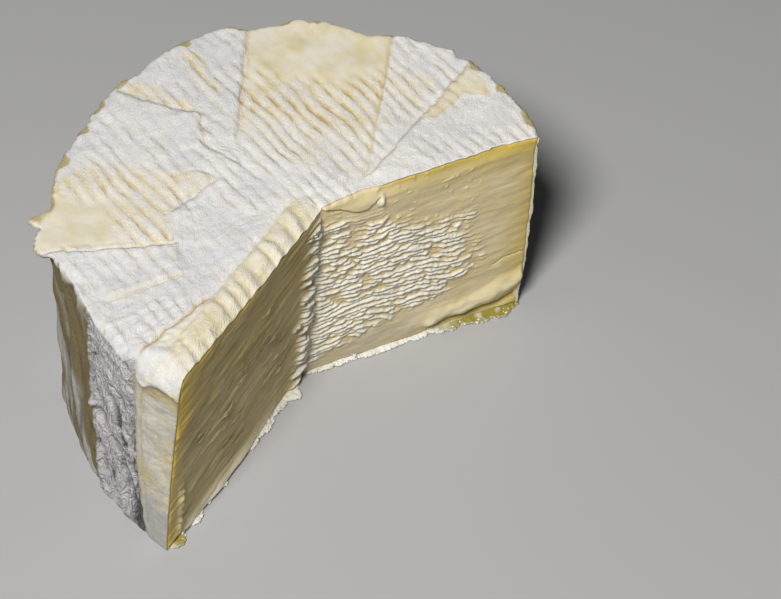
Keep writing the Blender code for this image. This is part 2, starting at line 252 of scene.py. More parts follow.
def skinWrinkles(angle, z):  # relief of the side outwards, and painted shade for its crevices, its creases and under the apron
    arc, x, y = onSkin(angle)
    share = z / drum["height"]
    depths = rind["wrinkles"]
    # the front panel is crumpled, in lines that turn from level at the top to steep below
    front = ease(215.6, 217.0, angle) * ease(232.6, 231.2, angle)
    folded = 0
    for lean, level in ((14, 0.95), (44, 0.55), (64, 0.10)):
        across, along = leaning(arc, z, lean, 6.5)
        folded = folded + hill(level, 0.48, share) * crumple(0.0025, 5 + lean, across, along)
    folded = folded / sum(hill(level, 0.48, share) for level in (0.95, 0.55, 0.10))
    inFolds = ease(0.26, 0.06, folded)
    finer = crumple(0.0007, 90, *leaning(arc, z, 50, 3.0))
    swell = depths["frontSwell"] * softNoise(0.006, 7, x, y, z)
    folded = folded - crumpleMean
    out = front * (depths["front"] * folded + depths["frontFine"] * (finer - crumpleMean) + swell)
    # painted shade in the front panel's folds
    cavity = front * np.clip(0.8 * inFolds + 0.35 * ease(0.14, 0.02, finer), 0, 1)
    # long soft folds in the dark panel
    dark = ease(184, 188, angle) * ease(216.4, 214.8, angle)
    swept = crumple(0.0040, 93, *leaning(arc, z, 63, 6.0))
    finer = crumple(0.0011, 95, *leaning(arc, z, 60, 4.0))
    out += dark * (depths["dark"] * (swept - crumpleMean) + depths["darkFine"] * finer)
    # painted shade in the dark panel's folds
    cavity += dark * 0.75 * ease(0.28, 0.03, swept)
    calm = (1 - front) * (1 - 0.8 * dark) * (1 - 0.65 * ease(232.5, 234, angle))
    swell = depths["calm"] * layeredNoise(0.0042, 8, x, y, z * 0.6)
    out += calm * (swell + depths["calmFine"] * softNoise(0.0011, 11, x, y, z))
    out += calm * depths["back"] * (crumple(0.0030, 12, x, y, z * 0.7) - crumpleMean) * ease(184, 178, angle)
    for points, deepest, halfWidth in rind["creases"]:
        line = [(drum["arcRadius"] * math.radians(a), s * drum["height"]) for a, s in points]
        wobble = 0.00035 * softNoise(0.0028, 14, x, y, z)
        groove = ease(halfWidth, 0, fromLine(arc + wobble, z + wobble, line))
        out -= deepest * groove
        # painted shade along each crease
        cavity += ease(0.30, 0.85, groove) * np.where(angle > 231.6, 0.15, 1.1)
    out += depths["byCut"] * softNoise(0.0030, 24, z) * ease(27, 21, angle)
    # the cream panel's fine streaks
    cream = ease(233.5, 234.5, angle)
    out += cream * depths["streaks"] * softNoise(0.0013, 15, arc, z * 0.35)
    out += cream * depths["cream"] * (crumple(0.0022, 25, *leaning(arc, z, 12, 2.5)) - crumpleMean)
    # frayed ridge between the dark panel and the front one
    frayed = hill(216.4, 0.9, angle + 0.35 * softNoise(0.0016, 16, z))
    out += depths["ridge"] * frayed * ease(0.99, 0.9, share)
    # the top's skin laps over the front as an apron
    edge = np.interp(angle, *zip(*rind["apron"])) * drum["height"] + 0.00025 * softNoise(0.002, 17, arc)
    reach = depths["apronThin"] + depths["apronThick"] * ease(232.8, 237, angle)
    over = ease(216.5, 219, angle) * ease(edge - 0.00035, edge + 0.00045, z)
    out += reach * over * (0.35 + 0.65 * ease(drum["height"], edge, z))
    crepe = crumple(0.0012, 97, *leaning(arc, z, 72, 3.0)) - crumpleMean
    out += depths["crepe"] * crepe * ease(231.0, 233.0, angle) * ease(edge - 0.0005, edge + 0.0015, z)
    # painted shadow under the apron's edge
    cavity += 0.6 * ease(232.6, 235, angle) * ease(edge - 0.0016, edge - 0.0003, z) * (1 - over)
    return out, np.clip(cavity, 0, 1)


def cutAt(side, z):  # the apex, the direction outwards and the way to the gap of a cut at height z
    share = np.clip(z / drum["height"], 0, 1)[..., None]
    apex = np.array(cuts["apexBase"]) * (1 - share) + np.array(cuts["apexTop"]) * share
    end = np.array(cuts[side + "Base"]) * (1 - share) + np.array(cuts[side + "Top"]) * share
    along = end - apex
    along = along / np.linalg.norm(along, axis=-1, keepdims=True)
    gap = np.stack((along[..., 1], -along[..., 0]), axis=-1) * (1 if side == "right" else -1)
    return apex, along, gap


def onCut(side, s, out, z):  # the place in plan of a point along a cut, and out of it towards the gap
    apex, along, gap = cutAt(side, z)
    point = apex + along * s[:, None] + gap * out[:, None]
    return point[:, 0], point[:, 1]


def cutLength(side, z):  # how far the cut runs from the apex to the skin, and the angle there
    apex, along, _ = cutAt(side, z)
    length = np.full(np.shape(z), 0.044)
    for _ in range(8):
        point = apex + along * length[..., None]
        angle = np.degrees(np.arctan2(point[..., 1], point[..., 0])) % 360
        length = length + skinRadius(angle, z) - np.hypot(point[..., 0], point[..., 1])
    return length, angle


def leanBack(side, s, z):  # how far a cut's top edge leans back into the cheese
    if side == "left":
        return 0 * s
    top = drum["height"]
    return np.interp(s, *zip(*cuts["bevel"])) * ease(top - cuts["bevelDepth"], top - 0.0003, z)


def rimRounding(angle):
    return drum["rimRounding"] + (drum["frontRounding"] - drum["rimRounding"]) * hill(238, 22, angle)


def topRelief(x, y):  # height of the top over its plane, and the masks that go with it
    zero = 0 * x
    warpX = 0.0009 * softNoise(0.006, 31, x, y)
    warpY = 0.0009 * softNoise(0.006, 32, x, y)
    z = 0.0004 * softNoise(0.028, 33, x, y) + 0.00025 * softNoise(0.009, 34, x, y)
    wobble = 0.00035 * softNoise(0.004, 35, x, y) + 0.00014 * softNoise(0.0014, 36, x, y)
    nearest, foldSide, foldReach = zero + 1, zero + 0.002, zero
    for start, end, step, groove in rind["folds"]:
        ahead, aside, length = sideOfLine(x, y, start, end)
        aside = (aside + wobble) * math.copysign(1, step)
        reach = ease(-0.0012, 0.0006, ahead) * ease(0.0012, -0.0006, ahead - length)
        z += abs(step) * reach * ease(-0.0003, 0.0003, aside) * ease(rind["foldFade"], 0.0010, np.abs(aside))
        z -= groove * reach * hill(0, 0.00075, aside)
        closer = (np.abs(aside) < nearest) & (reach > 0.02)
        nearest = np.where(closer, np.abs(aside), nearest)
        foldSide = np.where(closer, aside, foldSide)
        near = reach * min(1, groove / 0.00022) * ease(0.0018, 0.0010, np.abs(aside))
        foldReach = np.where(closer, near, foldReach)
    rag = 0.0006 * softNoise(0.0035, 47, x, y)
    back = insideDepth(x + 0.3 * warpX, y, list(rind["backPanel"]))
    left = insideDepth(x + 0.5 * warpX, y + 0.5 * warpY, list(rind["leftPatch"])) + 0.4 * rag
    right = insideDepth(x + 0.4 * warpX, y + 0.4 * warpY, list(rind["rightPatch"])) + 0.5 * rag
    middle = insideDepth(x + warpX, y + warpY, list(rind["middlePatch"])) + rag
    front = insideDepth(x + 0.4 * warpX, y, list(rind["frontPatch"])) + 0.4 * rag
    strips = insideDepth(x, y, list(rind["creaseStrip"]))
    strips = np.maximum(strips, insideDepth(x, y, list(rind["rimStrip"]))) + rag
    depth = np.maximum.reduce((back, left, right, middle, front, strips))
    upper = ease(0.010, 0.027, y + 5 * warpX)
    amount = np.select((depth == back, depth == right, depth == middle, depth == left),
                       (0.30 + 0.70 * upper, 0.90, 0.50, 0.78), 0.85)
    fade = np.where(depth == left, 0.0008 + 0.0035 * ease(0.003, 0.009, y) * ease(-0.024, -0.028, x), 0.0030)
    fade = np.where((depth == strips) | (depth == right), 0.0008, fade)
    amount = amount * ease(-0.0004, np.where(depth == back, 0.0004, fade), depth)
    butter = ease(-0.0004, 0.0004, depth) * amount
    smooth = ease(0, 0.0006, back) * ease(0.027, 0.034, y + 4 * warpX)
    lower = ease(0.004, -0.001, y + 4 * warpX)
    smooth = smooth + ease(0, 0.0012, left) * ease(-0.029, -0.035, x + 4 * warpY) * lower
    smooth = smooth + 0.75 * ease(0, 0.0010, right)
    smooth = np.clip(smooth + 0.6 * ease(0, 0.0008, front), 0, 1)
    tongue = ease(0.0045, 0.0020, np.hypot(x + 0.0190, y - 0.0040))
    z += 0.0003 * ease(0.0, 0.0010, left) * tongue
    nearRim = np.hypot(x, y) / outlineRadius(drum["rim"], np.degrees(np.arctan2(y, x)) % 360)
    # lines of the drying mat: rounded ribs with narrow valleys
    turn = math.radians(rind["matTurn"])
    across = x * math.cos(turn) - y * math.sin(turn)
    phase = across / rind["matPitch"] + 0.36 * softNoise(0.008, 37, x, y)
    phase += 0.09 * softNoise(0.0022, 38, x, y)
    patchy = ease(-0.35, 0.4, softNoise(0.007, 39, x, y))
    lines = (0.16 + 0.74 * patchy) * (1 - 0.9 * smooth)
    lines = np.clip(lines + 0.35 * butter * (1 - smooth), 0, 1)
    lines = lines * ease(1.0, 0.95, nearRim) * (1 - 0.8 * tongue)
    ribs = np.abs(np.cos(np.pi * phase)) - 0.64  # about its mean
    z += rind["matDepth"] * ribs * lines * 1.3
    # bloom crumples where it is thick
    bloom = 1 - butter
    pillows = crumple(0.0052, 40, x + warpX, y + warpY) - crumpleMean
    finer = crumple(0.0018, 42, x, y + warpX) - crumpleMean
    z += bloom * rind["bloomDepth"] * pillows
    z += bloom * rind["bloomFine"] * finer + 0.00003 * softNoise(0.001, 44, x, y)
    z += smooth * rind["smoothSwell"] * softNoise(0.0055, 43, x, y)
    corner = ease(0.019, 0.008, np.hypot(x + 0.0235, y + 0.0375))
    gathered = crumple(0.0014, 48, 0.5 * x - 0.9 * y, 0.35 * x + 0.2 * y) - crumpleMean
    z += rind["cornerDepth"] * corner * gathered
    masks = dict(butter=depth * 1000, butterAmount=amount, smooth=smooth, matPhase=phase, matLines=lines,
                 foldSide=foldSide * 1000, foldReach=foldReach, foldWarm=ease(-0.0015, 0.0, front))
    return z, masks, nearRim


def leftRoll(x, y):  # the rind rolls over the left cut's top edge in scallops
    ahead, aside, _ = sideOfLine(x, y, cuts["apexTop"], cuts["leftTop"])
    inward = -aside  # distance from the cut, into the cheese
    ends = ease(-0.001, 0.003, ahead) * ease(0.0455, 0.038, ahead)
    wander = 0.0007 * softNoise(0.005, 46, x, y)
    band = ease(0.0062, 0.0046, inward + wander) * ends
    lean = ahead + inward * 0.35
    uneven = 3.0 * softNoise(0.0065, 21, lean, inward * 0.5)
    bumps = 0.5 + 0.5 * np.cos(2 * np.pi * lean / rind["rollPitch"] + uneven)
    bumps = bumps ** 0.7 * np.clip(0.72 + 0.55 * softNoise(0.0042, 22, lean, inward), 0, 1)
    lift = band * (0.00004 + rind["rollRise"] * bumps * ease(0.0060, 0.0035, inward))
    lift -= rind["rollGroove"] * hill(0.0056, 0.0011, inward + wander) * ends
    drop = rind["rollDrop"] * ease(0.0024, 0.0, inward) * ends
    return lift - drop, band, bumps


def readPoints(obj):
    points = np.empty(len(obj.data.vertices) * 3)
    obj.data.vertices.foreach_get("co", points)
    return points.reshape(-1, 3)


def gridPiece(name, columns, rows):  # a flat grid, with the column and row of each of its points
    bpy.ops.mesh.primitive_grid_add(x_subdivisions=columns, y_subdivisions=rows, size=1)
    obj = bpy.context.object
    obj.name = obj.data.name = name
    spots = readPoints(obj)
    column = np.rint((spots[:, 0] + 0.5) * columns).astype(int)
    row = np.rint((spots[:, 1] + 0.5) * rows).astype(int)
    return obj, column, row


def placePoints(obj, x, y, z):  # moves the points to their places, given from the drum's axis
    place = np.stack((x + drum["axis"][0], y + drum["axis"][1], z), axis=1)
    place = np.clip(place, cadBox[0], cadBox[1])
    obj.data.vertices.foreach_set("co", place.ravel())


def storeMasks(obj, **masks):
    for name, values in masks.items():
        layer = obj.data.attributes.new(name, "FLOAT", "POINT")
        layer.data.foreach_set("value", np.asarray(values, dtype=np.float32))


def openMesh(obj):
    bm = bmesh.new()
    bm.from_mesh(obj.data)
    return bm


def finishMesh(obj, bm):
    bmesh.ops.recalc_face_normals(bm, faces=bm.faces[:])
    bm.to_mesh(obj.data)
    bm.free()
    obj.data.shade_smooth()
    return obj


def buildRind():
    part = rind
    lips = len(part["lips"]) + 1
    columns = part["columns"] + 2 * lips
    rows = part["topRows"] + part["roundingRows"] + part["sideRows"] + part["baseRows"]
    height = drum["height"]
    obj, column, row = gridPiece("rind", columns, rows)

    # places of the skin's columns, closer together at the front left
    share = np.interp(np.linspace(0, 1, part["columns"] + 1), (0, 0.58, 1), (0, 0.69, 1))
    c = share[np.clip(column - lips, 0, part["columns"])]

    # height of each row on the side, and how far in it is on the top and the base
    topEnd = part["topRows"]
    sideStart = topEnd + part["roundingRows"]
    baseStart = sideStart + part["sideRows"]
    turn = np.clip((row - topEnd) / part["roundingRows"], 0, 1) * np.pi / 2
    down = np.clip((row - sideStart) / (part["sideRows"] - 2), 0, 1)
    down = np.interp(down, (0, 0.34, 1), (0, 0.19, 1))  # rows are closer under the rim
    leftEnd = cutLength("left", np.array([height]))[1][0]
    rounding = rimRounding(20 + c * (leftEnd - 20))
    z = height - rounding * (1 - np.cos(turn))
    z = z * (1 - down) + drum["baseRounding"] * down
    last = row >= baseStart - 1
    z = np.where(last, drum["baseRounding"] * 0.3, z)
    z = np.where(row >= baseStart, 0.0, z)
    rightAngle = cutLength("right", z)[1]
    leftAngle = cutLength("left", z)[1]
    angle = rightAngle + c * (leftAngle - rightAngle)
    radius = skinRadius(angle, z)
    fade = ease(height, height - 0.0015, z) * ease(0.0, 0.002, z)
    wrinkles, cavity = skinWrinkles(angle, z)
    radius += wrinkles * np.where(row < topEnd, 0, 0.15 + 0.85 * fade)
    nibble = 0.00050 * softNoise(2.6, 18, angle) + 0.00026 * softNoise(0.8, 19, angle)
    radius += nibble * ease(height - 0.004, height - 0.001, z) * (angle < 205)
    radius -= rounding * (1 - np.sin(turn))
    radius -= np.where(last, drum["baseRounding"] * 0.3, 0)
    radius -= np.where(row >= baseStart, drum["baseRounding"] * 0.7, 0)
    x = radius * np.cos(np.radians(angle))
    y = radius * np.sin(np.radians(angle))
    apexTop, apexBase = np.array(cuts["apexTop"]), np.array(cuts["apexBase"])
    q = np.clip(row / topEnd, 0, 1)
    x = apexTop[0] + (x - apexTop[0]) * q
    y = apexTop[1] + (y - apexTop[1]) * q
    p = np.clip((row - baseStart) / part["baseRows"], 0, 1)
    x = x + (apexBase[0] - x) * p
    y = y + (apexBase[1] - y) * p

    # the right cut's top edge leans back, and is ragged
    ahead, aside, _ = sideOfLine(x, y, cuts["apexTop"], cuts["rightTop"])
    nearCut = ease(0.006, 0.0, aside) * (row <= sideStart + 12)
    ragged = 0.00030 * softNoise(0.0024, 20, ahead) + 0.00016 * softNoise(0.0008, 23, ahead)
    ragged = ragged * ease(0.0, 0.003, ahead)
    moved = (leanBack("right", ahead, z) + ragged * ease(height - 0.002, height, z)) * nearCut
    across = cutAt("right", z)[2]
    x, y = x - across[:, 0] * moved, y - across[:, 1] * moved

    # the top's own relief, fading over the rim
    relief, masks, nearRim = topRelief(x, y)
    rolled, band, bumps = leftRoll(x, y)
    onTop = ease(height - 0.0045, height - 0.0010, z) * (row < sideStart + 12)
    z = z + (relief - drum["topDrop"] + rolled) * onTop
    z += hill(1.0, 0.05, nearRim) * onTop * 0.00025 * softNoise(0.003, 45, x, y)
    over = np.count_nonzero(z > part["highest"])
    print("top's relief:", round(1000 * np.max(z), 2), "mm high,", over, "over")
    z = np.minimum(z, part["highest"])

    # lips: the rind's own thickness, seen on the cuts; each lies in the plane of its cut
    lipNumber = np.where(column < lips, lips - column, np.maximum(0, column - lips - part["columns"]))
    for side, picked in (("right", column < lips), ("left", column > lips + part["columns"])):
        edgeColumn = lips if side == "right" else lips + part["columns"]
        number = lipNumber[picked]
        inset = np.array((0,) + part["lips"] + (part["lips"][-1],))[number]
        back = np.where(number == lips, part["recess"], 0.00012 * (number > 1) * number)
        edge = np.nonzero(column == edgeColumn)[0]
        edge = edge[np.argsort(row[edge])]
        ex, ey, ez = x[edge][row[picked]], y[edge][row[picked]], z[edge][row[picked]]
        apex, along, _ = cutAt(side, ez)
        reach = (ex - apex[:, 0]) * along[:, 0] + (ey - apex[:, 1]) * along[:, 1]
        topZ = np.interp(reach, *topEdge(x[edge], y[edge], z[edge], row[edge], topEnd, side))
        lipZ = np.clip(ez, inset, topZ - inset)
        reach = np.clip(reach, 0, cutLength(side, lipZ)[0] - inset)
        back = back + leanBack(side, reach, lipZ)
        x[picked], y[picked] = onCut(side, reach, -back, lipZ)
        z[picked] = lipZ
    placePoints(obj, x, y, z)

    # masks for the material
    turnedIn = (lipNumber > 0).astype(float)
    onSide = (row > topEnd + 2).astype(float)
    side = sideMasks(angle, z, onSide)
    storeMasks(
        obj, butter=masks["butter"], butterAmount=masks["butterAmount"] * onTop, sideButter=side["butter"],
        smooth=np.clip(masks["smooth"] * onTop + side["smooth"], 0, 1), matPhase=masks["matPhase"],
        matLines=masks["matLines"] * onTop * (1 - 0.7 * band), foldSide=masks["foldSide"],
        foldReach=masks["foldReach"] * onTop, roll=band * onTop, rollGroove=band * onTop * (1 - bumps),
        olive=side["olive"], onSide=side["dull"], foldWarm=masks["foldWarm"],
        rimOlive=rimOlive(x, y, nearRim, angle) * onTop, grey=side["grey"],
        cavity=np.clip(cavity * onSide, 0, 1), stain=side["stain"], cutEdge=turnedIn,
    )
    return closeBody(obj)


def topEdge(x, y, z, row, topEnd, side):  # the top edge's height along a cut
    keep = row <= topEnd + 2
    apex, along, _ = cutAt(side, z[keep])
    reach = (x[keep] - apex[:, 0]) * along[:, 0] + (y[keep] - apex[:, 1]) * along[:, 1]
    order = np.argsort(reach)
    return reach[order], z[keep][order]


def rimOlive(x, y, nearRim, angle):  # thin yellowed patches along the rim
    wide = 0.018 * softNoise(0.004, 56, x, y) + 0.010 * softNoise(0.0014, 52, x, y)
    patches = 0.4 * ease(0.960, 0.990, nearRim + wide) * ease(0.10, 0.50, softNoise(0.0045, 51, x, y))
    wander = 1.2 * softNoise(0.0030, 55, x, y)
    for at, half in rind["rimPatches"]:
        depth = 0.062 * hill(0, half, np.abs(angle - at + wander)) ** 0.5 + 0.0001
        patches = np.maximum(patches, ease(1.002 - depth, 1.002 - 0.4 * depth, nearRim + 0.8 * wide))
    thin = 0.78 * ease(0.976, 0.992, nearRim + 0.6 * wide) * ease(-0.5, 0.2, softNoise(0.0070, 50, x, y))
    return np.maximum(patches, thin) * ease(193, 181, angle)


def sideMasks(angle, z, onSide):
    arc, x, y = onSkin(angle)
    share = z / drum["height"]
    cloud = layeredNoise(0.008, 53, x, y, z)
    swept = layeredNoise(0.0034, 57, *leaning(arc, z, 63, 5.0))
    ragged = 0.5 * softNoise(0.0018, 16, z)
    hollow = ease(183, 187, angle) * ease(217.0, 216.0, angle + ragged)
    hollow = hollow * ease(0.0, 0.06, share) * ease(1.0, 0.975, share)
    # grey bloom over the outer part, left of the long crease, and in swept streaks
    pastCrease = (0.66 - share) * 0.0303 - drum["arcRadius"] * np.radians(angle - 194.5)
    outer = ease(0.0, 0.006, pastCrease + 0.003 * cloud)
    bloomOver = 0.65 * outer * ease(-0.1, 0.35, swept) + 0.38 * ease(0.35, 0.55, swept + 0.3 * cloud)
    bloomOver = np.clip(bloomOver, 0, 1)
    # the dark panel's olive; its colour is darkened far past the rind's own olive as painted shade of this
    # recessed panel
    olive = hollow * (1 - 0.75 * bloomOver)
    front = ease(216.0, 216.8, angle + ragged) * ease(233.2, 231.8, angle)
    # grey on the front panel is its white bloom greyed as painted shade
    grey = front * ease(0.995, 0.96, share) + 0.40 * hollow * bloomOver
    back = ease(184, 178, angle)
    backHollow = 0
    for first, last, middle, half, _, _ in rind["hollows"][2:]:
        along = np.clip((angle - first) / (last - first), 0, 1)
        up = np.clip((share - middle) / half, -1, 1)
        backHollow = backHollow + np.sin(np.pi * along) * np.cos(np.pi / 2 * up)
    olive = olive + back * 0.10 * ease(0.45, 1.2, backHollow + 0.6 * cloud)
    grey = grey + back * 0.30 * ease(0.0, 0.7, cloud)
    cream = ease(232.2, 233.6, angle) * ease(0.96, 0.90, share)
    edge = np.interp(angle, *zip(*rind["apron"]))
    # painted shadow under the apron's edge on the cream panel, carried in the stain and olive masks
    under = cream * ease(edge - 0.085, edge - 0.02, share) * ease(edge + 0.006, edge - 0.004, share)
    under = under * ease(234, 238, angle)
    worn = softNoise(0.006, 58, *leaning(arc, z, 60, 3.0))
    olive = olive + front * 0.5 * ease(0.30, 0.9, worn) * ease(0.3, 0.1, share)
    lap = ease(233.5, 236.5, angle) * ease(edge - 0.004, edge + 0.006, share)
    butter = cream * (0.36 + 0.30 * ease(-0.2, 0.5, cloud))
    butter = butter * (0.3 + 0.7 * ease(0.18, 0.36, share + 0.08 * cloud))
    butter = butter + 0.55 * lap * ease(-0.3, 0.5, cloud)
    butter = butter + back * 0.35 * ease(0.1, 1.1, backHollow + 0.9 * cloud)
    streaks = softNoise(0.0045, 59, x * 1.6, y * 1.6, z * 0.5)
    streaks = streaks + 0.6 * softNoise(0.0016, 60, *leaning(arc, z, 20, 4.0))
    stain = cream * ease(0.10, 0.9, streaks) + 0.9 * hill(232.6, 1.0, angle) + 0.5 * hill(234.3, 0.5, angle)
    stain = stain * ease(0.97, 0.88, share) * ease(0.06, 0.32, share) + under
    # painted shade: the side darker from just under the top's edge downwards, less so round the back
    dull = ease(edge + 0.004, edge - 0.03, share) * (0.25 + 0.75 * ease(178, 196, angle))
    return dict(
        dull=dull * onSide, smooth=(cream * 0.3 + 0.25 * hollow) * onSide,
        olive=np.clip(olive + 0.30 * under, 0, 1) * onSide, grey=np.clip(grey, 0, 1) * onSide,
        butter=np.clip(butter, 0, 1) * onSide, stain=np.clip(stain, 0, 1) * onSide,
    )


def fillNotch(bm):  # closes the notch-shaped hole with one face behind each cut, meeting at the apex
    nextOnes = {}
    for edge in bm.edges:
        if edge.is_boundary:
            nextOnes.setdefault(edge.verts[0], []).append(edge.verts[1])
            nextOnes.setdefault(edge.verts[1], []).append(edge.verts[0])
    axis = drum["axis"]
    bend = max(nextOnes, key=lambda v: v.co.z - 2 * (abs(v.co.x - axis[0]) + abs(v.co.y - axis[1])))
    loop = [bend, nextOnes[bend][0]]
    while loop[-1] is not bend:
        first, second = nextOnes[loop[-1]]
        loop.append(second if first is loop[-2] else first)
    loop.pop()
    foot = min(range(len(loop)), key=lambda i: (loop[i].co.xy - bend.co.xy).length + loop[i].co.z)
    bm.faces.new(loop[:foot + 1])
    bm.faces.new(loop[foot:] + loop[:1])
    print("notch closed:", len(loop), "of", len(nextOnes), "points on its edge")


def closeBody(obj):  # merges the poles and closes the notch behind the paste
    bm = openMesh(obj)
    bmesh.ops.remove_doubles(bm, verts=bm.verts[:], dist=1e-6)
    bmesh.ops.dissolve_degenerate(bm, edges=bm.edges[:], dist=1e-7)
    fillNotch(bm)
    return finishMesh(obj, bm)


# the paste's form

paste = dict(
    rightColumns=230, leftColumns=120, rows=276,
    insetTop=0.00030, insetSide=0.00035, insetBase=0.0006, depth=0.0045,
    # torn layers of the right cut: pitch at the top and at the base, how far they stand out, slope
    layerPitch=(0.00098, 0.00150), layerDepth=0.00062, dip=-0.09,
    # the broken slab over the apex: depth of the crack under the top, along the cut
    crack=((0.0, 0.0006), (0.0037, 0.0021), (0.0073, 0.0042), (0.0093, 0.0042), (0.0102, 0.0035),
           (0.0115, 0.0022)),
    # middles of the smeared flakes on the left cut: out along it and up
    smears=((0.0300, 0.0228), (0.0218, 0.0301), (0.0114, 0.0140), (0.0262, 0.0110), (0.0205, 0.0320),
            (0.0125, 0.0230), (0.0160, 0.0260), (0.0360, 0.0260)),
    smearCount=96,
    # the slumped roll at the foot: height of its middle, and of the groove under it, along the cut
    slump=((0.022, 0.0044), (0.030, 0.0048), (0.035, 0.0053), (0.039, 0.0062), (0.043, 0.0080),
           (0.045, 0.0095)),
    groove=((0.022, 0.0009), (0.030, 0.0019), (0.037, 0.0019), (0.042, 0.0022), (0.045, 0.0034)),
    rollReach=0.0011, grooveDepth=0.0009, slabReach=0.0005, crackDepth=0.0006, lumpReach=0.0011,
    nickDepth=0.00045, nickLip=0.00012, bumpReach=0.00026,
    leftDepth=0.0013, smearDepth=0.00030, lipReach=0.0015, flapReach=0.0007, borderDip=0.00035,
    # where the right cut tears into flakes: upper and lower edge along the cut, and its last place by height
    tornTop=((0, 0.0480), (0.0015, 0.0470), (0.0093, 0.0440), (0.0186, 0.0410), (0.030, 0.0375),
             (0.036, 0.035)),
    tornLow=((0, 0.0020), (0.0076, 0.0045), (0.015, 0.0062), (0.022, 0.0085), (0.030, 0.0095),
             (0.038, 0.0125)),
    tornLast=((0.010, 0.031), (0.017, 0.0375), (0.0255, 0.034), (0.035, 0.030), (0.042, 0.024)),
)


def shingle(phase):  # a sharp crevice under each layer, then a face that leans back
    p = phase - np.floor(phase)
    return ease(0.0, 0.15, p) * (1 - 0.90 * ease(0.16, 0.70, p))


def layerPhase(s, z, slope, seed):  # the torn layers, counted upwards
    level = z - slope * s + 0.0016 * softNoise(0.012, seed, s, z * 0.5)
    low, high = paste["layerPitch"][1], paste["layerPitch"][0]
    phase = level / low + (1 / high - 1 / low) * level ** 2 / (2 * drum["height"])  # closer towards the top
    phase += 0.60 * softNoise(0.0022, seed + 1, s / 2.2, z)
    phase += 0.16 * softNoise(0.0011, seed + 2, s / 1.8, z)
    phase += 0.13 * softNoise(0.0008, seed + 3, s, z * 0.6)
    return phase


def leftStanding(phase, s, strength, seed):  # how far each layer stands out along it, 0 where torn off
    layer = np.floor(phase) * 0.0137
    along = softNoise(0.0034, seed, s, layer) + 0.50 * softNoise(0.0013, seed + 1, s, layer)
    return ease(-0.60, 0.30, along + 0.7 * (strength - 0.70))


def smearedLumps(s, z):  # flakes that the knife smeared over the left cut
    rng = np.random.default_rng(5)
    height = np.zeros_like(s)
    for number in range(paste["smearCount"]):
        middle = paste["smears"][number % len(paste["smears"])]
        place, level = middle[0] + rng.normal(0, 0.0022), middle[1] + rng.normal(0, 0.0030)
        halfLength, halfThick = rng.uniform(0.0008, 0.0034), rng.uniform(0.00012, 0.00024)
        slope, tall = rng.uniform(-0.16, 0.10), rng.uniform(0.00012, 0.00042)
        ds = (s - place) / halfLength
        near = np.abs(ds) < 1
        taper = np.sqrt(1 - ds[near] ** 2)
        spine = level + slope * (s[near] - place) + 0.0002 * softNoise(0.0012, number, s[near])
        p = (z[near] - spine) / (halfThick * taper ** 0.7 + 1e-6) * 0.5 + 0.5
        rise = tall * ease(0.0, 0.22, p) * ease(1.12, 0.30, p) * taper
        height[near] = np.maximum(height[near], rise)
    return height


def tornShare(s, z):  # where the middle tears into flakes: full near the apex, none by the rind
    wander = 0.0045 * softNoise(0.008, 62, s, z) + 0.0016 * softNoise(0.0024, 68, s, z)
    top = np.interp(s, *zip(*paste["tornTop"]))
    low = np.interp(s, *zip(*paste["tornLow"]))
    last = np.interp(z, *zip(*paste["tornLast"]))
    strength = ease(0.0, -0.0065, z - top - wander) * ease(0.0, 0.0030, z - low - 0.4 * wander)
    return strength * ease(0.0035, -0.0090, s - last - 1.3 * wander)


def rightRelief(s, z):  # relief towards the gap, and masks
    height = drum["height"]
    strength = tornShare(s, z)
    phase = layerPhase(s, z, paste["dip"], 61)
    standing = leftStanding(phase, s, strength, 69)
    layers = shingle(phase) * standing
    out = paste["layerDepth"] * layers * strength ** 0.8
    out += 0.00015 * strength * softNoise(0.0010, 63, s, z * 1.3)
    out += 0.00024 * softNoise(0.012, 64, s, z * 2) + 0.00012 * softNoise(0.004, 65, s, z * 2.5)
    out += 0.00004 * softNoise(0.003, 66, s, z * 5) * (1 - strength)
    # small bumps under the top
    bumpy = ease(0.0350, 0.0385, z + 0.10 * s) * ease(0.008, 0.013, s) * ease(0.035, 0.030, s)
    out += bumpy * paste["bumpReach"] * ease(0.36, 0.85, softNoise(0.0013, 67, s, z * 1.2))
    # a soft roll that has slumped over the base, with a groove under it
    spine = np.interp(s, *zip(*paste["slump"]))
    wide = 0.0030 + 0.0014 * ease(0.032, 0.042, s)
    lumpy = 0.0009 * softNoise(0.0045, 70, s, z) + 0.0004 * softNoise(0.0018, 76, s, z)
    roll = hill(spine, wide, z + lumpy) * ease(0.019, 0.029, s + 2 * lumpy)
    groove = hill(np.interp(s, *zip(*paste["groove"])), 0.0016, z) * ease(0.024, 0.030, s)
    out += paste["rollReach"] * roll * (1 + 250 * lumpy) - paste["grooveDepth"] * groove
    # a slab of rind that broke over the apex, with a crack under it
    fromTop = height - 0.0003 - z
    crack = np.interp(s, *zip(*paste["crack"])) + 0.00022 * softNoise(0.0016, 71, s)
    ends = ease(0.0122, 0.0108, s)
    slab = ease(crack + 0.00012, crack - 0.00016, fromTop) * ends
    line = hill(crack + 0.00025, 0.00035, fromTop) * ends * ease(0.0, 0.0008, s)
    out += paste["slabReach"] * slab - paste["crackDepth"] * line
    lump = hill(0, 1, np.hypot((s - 0.0119) / 0.0011, (z - 0.0462) / 0.0022))
    out += paste["lumpReach"] * lump
    # a knife crack in from the rim
    nick = 0.0168 - 0.0010 * ease(0.041, 0.039, s) + 0.0002 * softNoise(0.0015, 72, s)
    out -= paste["nickDepth"] * hill(nick, 0.0003, z) * ease(0.0375, 0.0395, s)
    under = ease(nick, nick - 0.0012, z)
    out += paste["nickLip"] * under * ease(nick - 0.006, nick - 0.002, z) * ease(0.0375, 0.041, s)
    masks = dict(phase=phase, strength=strength, flake=layers * strength ** 0.8, slab=slab, crackLine=line,
                 roll=roll, groove=groove, lump=lump, torn=standing * ease(0.0, 0.6, strength))
    return out, masks


